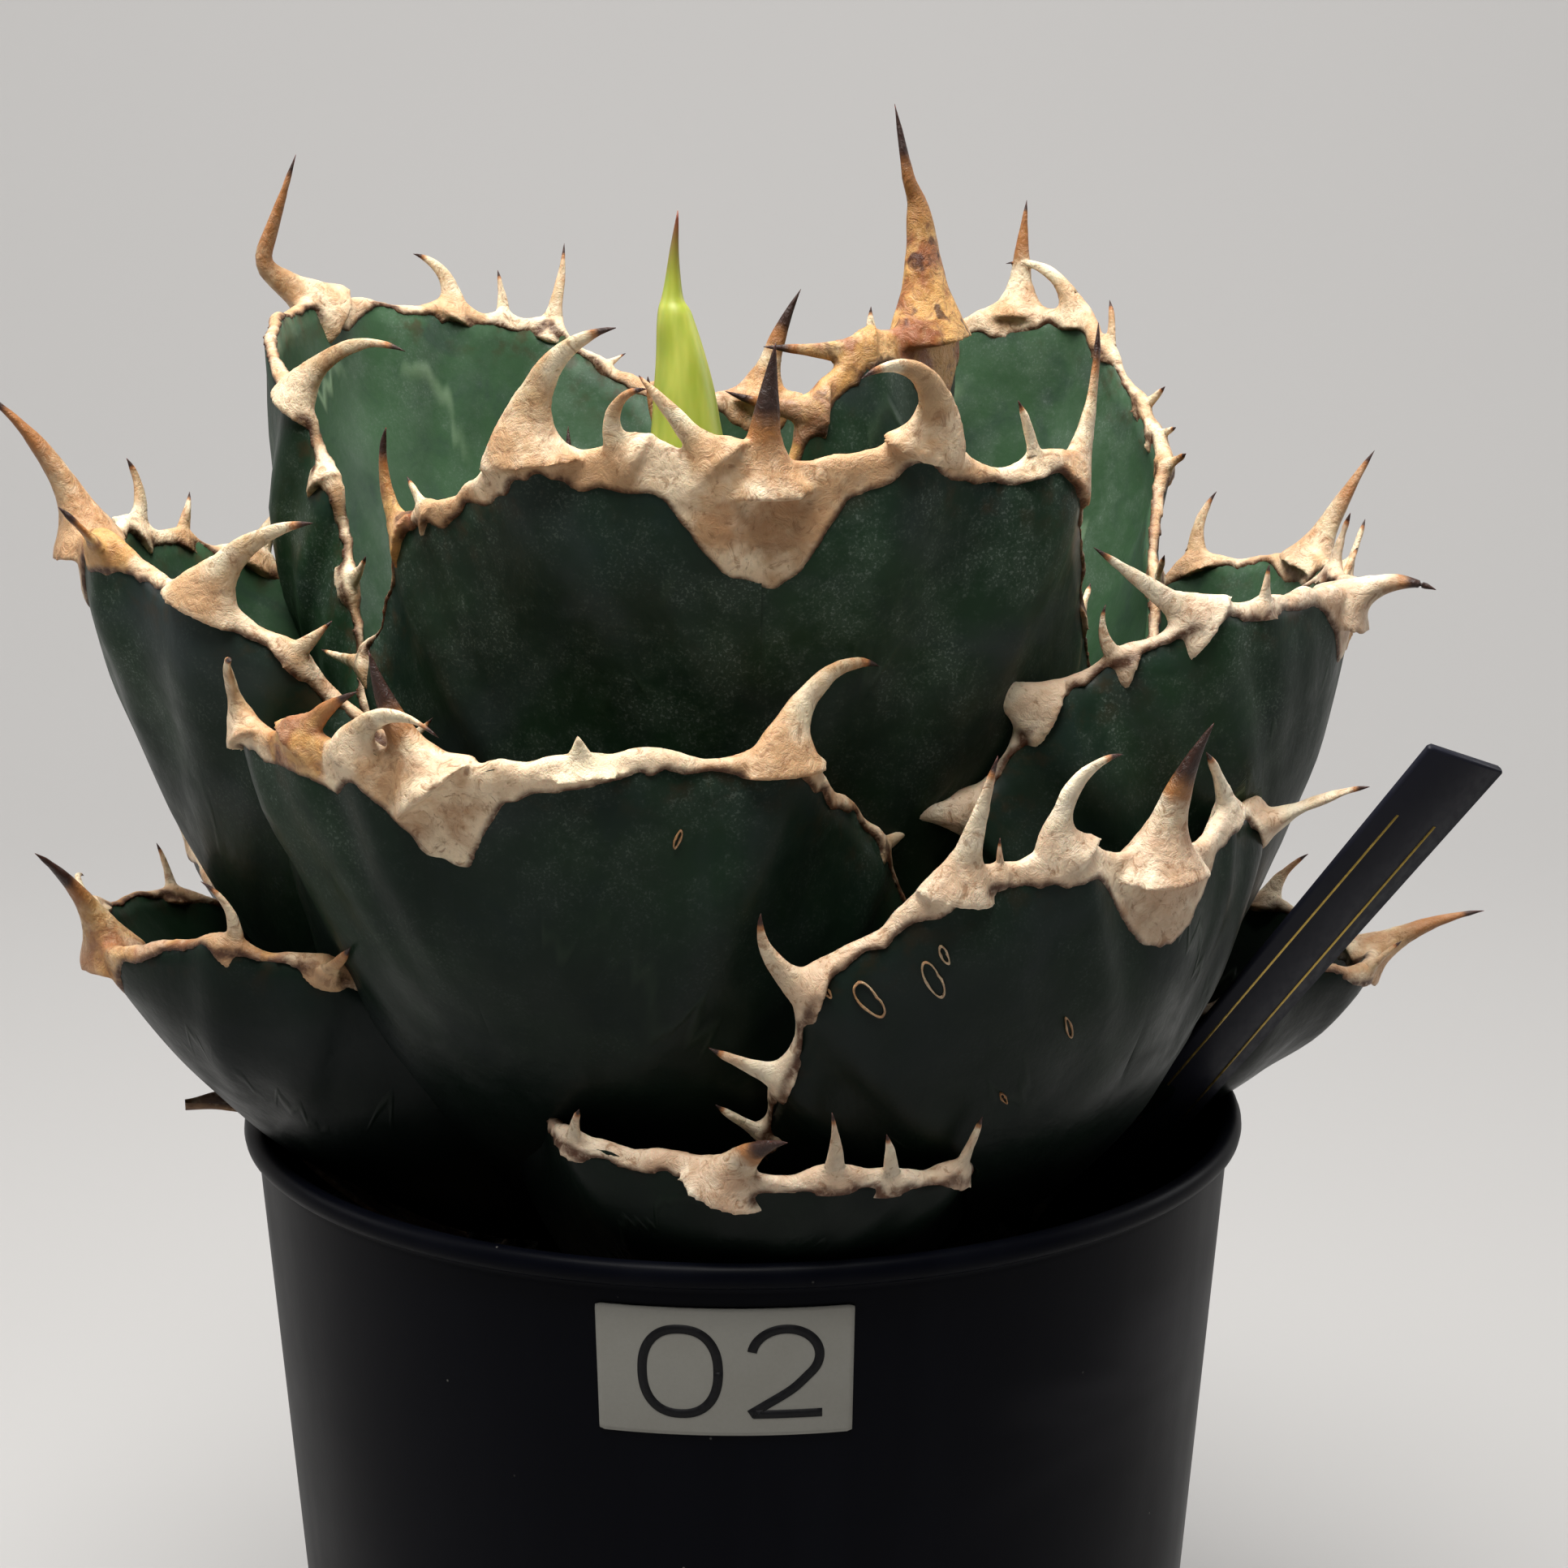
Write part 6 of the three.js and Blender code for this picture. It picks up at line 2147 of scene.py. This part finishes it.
@dataclass
class Bud:
    """The furled young leaf in the middle, with the edge of the next one beside it.

    Attributes:
        path: places along its middle line.
        radii: its radius at each of them.
        beside: places and radii of the next leaf's edge.
        finish: its finish.
    """

    path: tuple[tuple[float, float, float], ...] = (
        (-2, 0, 127.5), (-2.5, 0, 145), (-4.5, 0, 165), (-6, 0, 182), (-6.8, 0, 196), (-7.6, 0, 203),
        (-7.9, 0, 206), (-7.3, 0, 215))
    radii: tuple[float, ...] = (3.4, 4.8, 5.4, 5.0, 3.3, 2.0, 1.0, 0.05)
    beside: tuple[tuple[float, float, float, float], ...] = (
        (1, -1.5, 130, 2.6), (2.0, -2.5, 150, 2.8), (2.6, -3, 168, 2.4), (4.2, -3.2, 180, 1.5),
        (7.4, -3.2, 188.5, 0.1))
    finish: BudSkin = BudSkin()

    def _cone(self, path: Array, radius: Array, twist: float, seed: int) -> Shape:
        """Skins a furled cone with a spiral lap along it.

        Args:
            path: places along its middle line.
            radius: its radius at each of them.
            twist: turn of the lap over its length, in radians.
            seed: picks its unevenness.

        Returns:
            The closed cone with its colour layer.
        """
        sides = 28
        share = np.linspace(0, 1, len(path))
        angle = 2 * math.pi * np.arange(sides) / sides
        seam = (angle[None] - 0.9 - twist * share[:, None]) % (2 * math.pi)
        ridge = 1 + 0.2 * np.exp(-((seam / 0.5) ** 2)) - 0.1 * np.exp(-(((2 * math.pi - seam) / 0.3) ** 2))
        reach = radius[:, None] * ridge
        rings = np.stack([path[:, :1] + reach * np.cos(angle), path[:, 1:2] + reach * np.sin(angle),
                          np.broadcast_to(path[:, 2:], reach.shape)], -1)
        rings[..., :2] += 0.12 * noise(rings, 4, seed)[..., None]
        shape = loft(rings)
        lap = np.exp(-((seam - 0.15) / 0.2) ** 2)
        marks = np.stack(np.broadcast_arrays(share[:, None], lap, 0.0, 1.0), -1).reshape(-1, 4)
        shape.marks["skin"] = np.vstack([marks, [[0, 0, 0, 1], [1, 0, 0, 1]]])
        return shape

    def build(self) -> bpy.types.Object:
        """Builds the bud and the slim leaf edge at its right.

        Returns:
            The bud.
        """
        main = spline([(*place, radius) for place, radius in zip(self.path, self.radii)], 70)
        bud = self._cone(main[:, :3], np.maximum(main[:, 3], 0.05), 2.2, 21)
        side = spline(list(self.beside), 40)
        edge = self._cone(side[:, :3], np.maximum(side[:, 3], 0.05), -1.5, 22)
        return stored(Shape.joined([bud, edge]), "bud_furled", self.finish, "bud_green", "leaf_bud")


@dataclass
class DryLeaf:
    """The dried tip of a dead leaf that lies over the rim.

    Attributes:
        path: places along its middle line.
        widths: its breadth at each of them.
        thickness: of the sheet.
        curl: how far its edges rise.
        crumple: height of its creases.
        finish: its finish.
    """

    path: tuple[tuple[float, float, float], ...] = (
        (-33, -9, 93.5), (-42, -10.5, 98), (-50, -12, 104.5), (-56, -13, 111), (-60.5, -14, 113),
        (-65, -15, 113))
    widths: tuple[float, ...] = (5, 8.5, 8, 6.5, 5, 1.2)
    thickness: float = 0.6
    curl: float = 0.55
    crumple: float = 0.5
    finish: DrySkin = DrySkin()

    def build(self) -> bpy.types.Object:
        """Skins a crumpled, curled strip.

        Returns:
            The dry tip.
        """
        line = spline([(*place, width) for place, width in zip(self.path, self.widths)], 60)
        path, width = line[:, :3], line[:, 3]
        heading = unit(np.gradient(path, axis=0))
        wide = np.broadcast_to(unit(np.array([-0.2, 1.0, 0.0])), path.shape)
        thin = np.cross(wide, heading)
        across = np.linspace(-1, 1, 13)
        lift = self.curl * (across ** 2)[None]
        crumple = self.crumple * noise(path[:, None] + across[None, :, None] * 3, 2.6, 31)
        upper = (path[:, None] + wide[:, None] * (across[None, :, None] * width[:, None, None] / 2)
                 + thin[:, None] * (lift + 0.25 * crumple)[..., None])
        lower = upper - thin[:, None] * self.thickness
        tip = loft(np.concatenate([upper, lower[:, ::-1]], 1))
        return stored(tip, "dry_leaf_tip", self.finish, "dry_leaf", "dry_leaf")


@dataclass(frozen=True)
class Lamp:
    """A soft square lamp, in metres and watts.

    Attributes:
        name: its name.
        place: where it hangs.
        target: what it faces.
        size: its side.
        power: its power.
        color: the colour of its light.
    """

    name: str
    place: tuple[float, float, float]
    target: tuple[float, float, float]
    size: float
    power: float
    color: Color = (1, 1, 1)

    def hang(self) -> None:
        """Hangs the lamp."""
        data = bpy.data.lights.new(self.name, "AREA")
        data.size, data.energy, data.color = self.size, self.power, self.color
        lamp = linked(self.name, data)
        lamp.location = self.place
        heading = Vector(self.target) - Vector(self.place)
        lamp.rotation_euler = heading.to_track_quat("-Z", "Y").to_euler()


@dataclass
class Studio:
    """The pale seamless backdrop, the soft lamps and the camera.

    Attributes:
        paper: the finish of the backdrop.
        radius: outer radius of the backdrop, in millimetres as the next two.
        curve: radius of the curve between floor and wall.
        wall: height of the wall.
        eye: the camera's place, in metres.
        tilt: degrees that it looks down.
        turn: degrees that it looks to the left.
        focal: its focal length in the photograph's pixels.
        frame: the photograph's side in pixels.
        sensor: the sensor's side in millimetres.
        air: the colour of the light from all round.
        glow: its strength.
        lamps: the lamps.
    """

    paper: StudioPaper = StudioPaper()
    radius: float = 1300.0
    curve: float = 650.0
    wall: float = 950.0
    eye: tuple[float, float, float] = (0, -0.3412, 0.2186)
    tilt: float = 11.71
    turn: float = -0.82
    focal: float = 3600
    frame: float = 1932
    sensor: float = 36
    air: Color = (0.95, 0.97, 1.0)
    glow: float = 0.09
    lamps: tuple[Lamp, ...] = (
        Lamp("lamp_key", (-0.05, -0.16, 0.68), (0, 0, 0.15), 0.34, 6.6, (1.0, 0.985, 0.96)),
        Lamp("lamp_back", (0.0, 0.4, 1.45), (0.0, 1.3, 0.5), 0.6, 23.0, (1.0, 0.99, 0.98)),
        Lamp("lamp_left", (-0.9, 0.1, 0.6), (0, 0, 0.12), 0.35, 1.7),
        Lamp("lamp_right", (0.9, 0.35, 0.5), (0, 0, 0.12), 0.35, 1.8))

    def backdrop(self) -> None:
        """Turns a wide bowl that is floor and backdrop in one."""
        flat = self.radius - self.curve
        profile = [(0.5, 0.0), (200, 0.0), (600, 0.0), (flat, 0.0)]
        profile += [(flat + self.curve * math.sin(a), self.curve - self.curve * math.cos(a))
                    for a in np.linspace(0.08, math.pi / 2, 22)]
        profile.append((self.radius, self.wall))
        rings = np.stack([circle(radius, height, 120) for radius, height in profile])
        bowl = linked("studio_bowl", loft(rings, closed=False).to_mesh("studio_bowl"))
        bowl.data.materials.append(self.paper.material())

    def camera(self) -> None:
        """Sets the camera at the photograph's angle."""
        data = bpy.data.cameras.new("view")
        data.sensor_width = self.sensor
        data.lens = self.sensor * self.focal / self.frame
        data.clip_start, data.clip_end = 0.01, 20
        view = linked("view", data)
        view.location = self.eye
        view.rotation_euler = (math.radians(90 - self.tilt), 0, math.radians(self.turn))
        bpy.context.scene.camera = view

    def build(self) -> None:
        """Sets the whole stage."""
        self.backdrop()
        self.camera()
        for lamp in self.lamps:
            lamp.hang()
        world = bpy.data.worlds.new("studio_air")
        bpy.context.scene.world = world
        world.use_nodes = True
        back = world.node_tree.nodes["Background"]
        back.inputs[0].default_value = (*self.air, 1)
        back.inputs[1].default_value = self.glow
        bpy.context.scene.view_settings.view_transform = "Standard"


def main() -> None:
    """Builds every piece in order."""
    logging.basicConfig(level=logging.INFO, format="%(name)s %(message)s")
    Studio().build()
    pot = Pot()
    pot.build()
    Sticker(pot).build()
    PlantLabel().build()
    Soil(pot).build()
    Bud().build()
    DryLeaf().build()
    stem = frame["nodes"]["stem"]
    stem.data.materials.clear()
    stem.data.materials.append(StemBark().material())
    Rosette().build()
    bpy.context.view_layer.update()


if __name__ == "__main__":
    main()
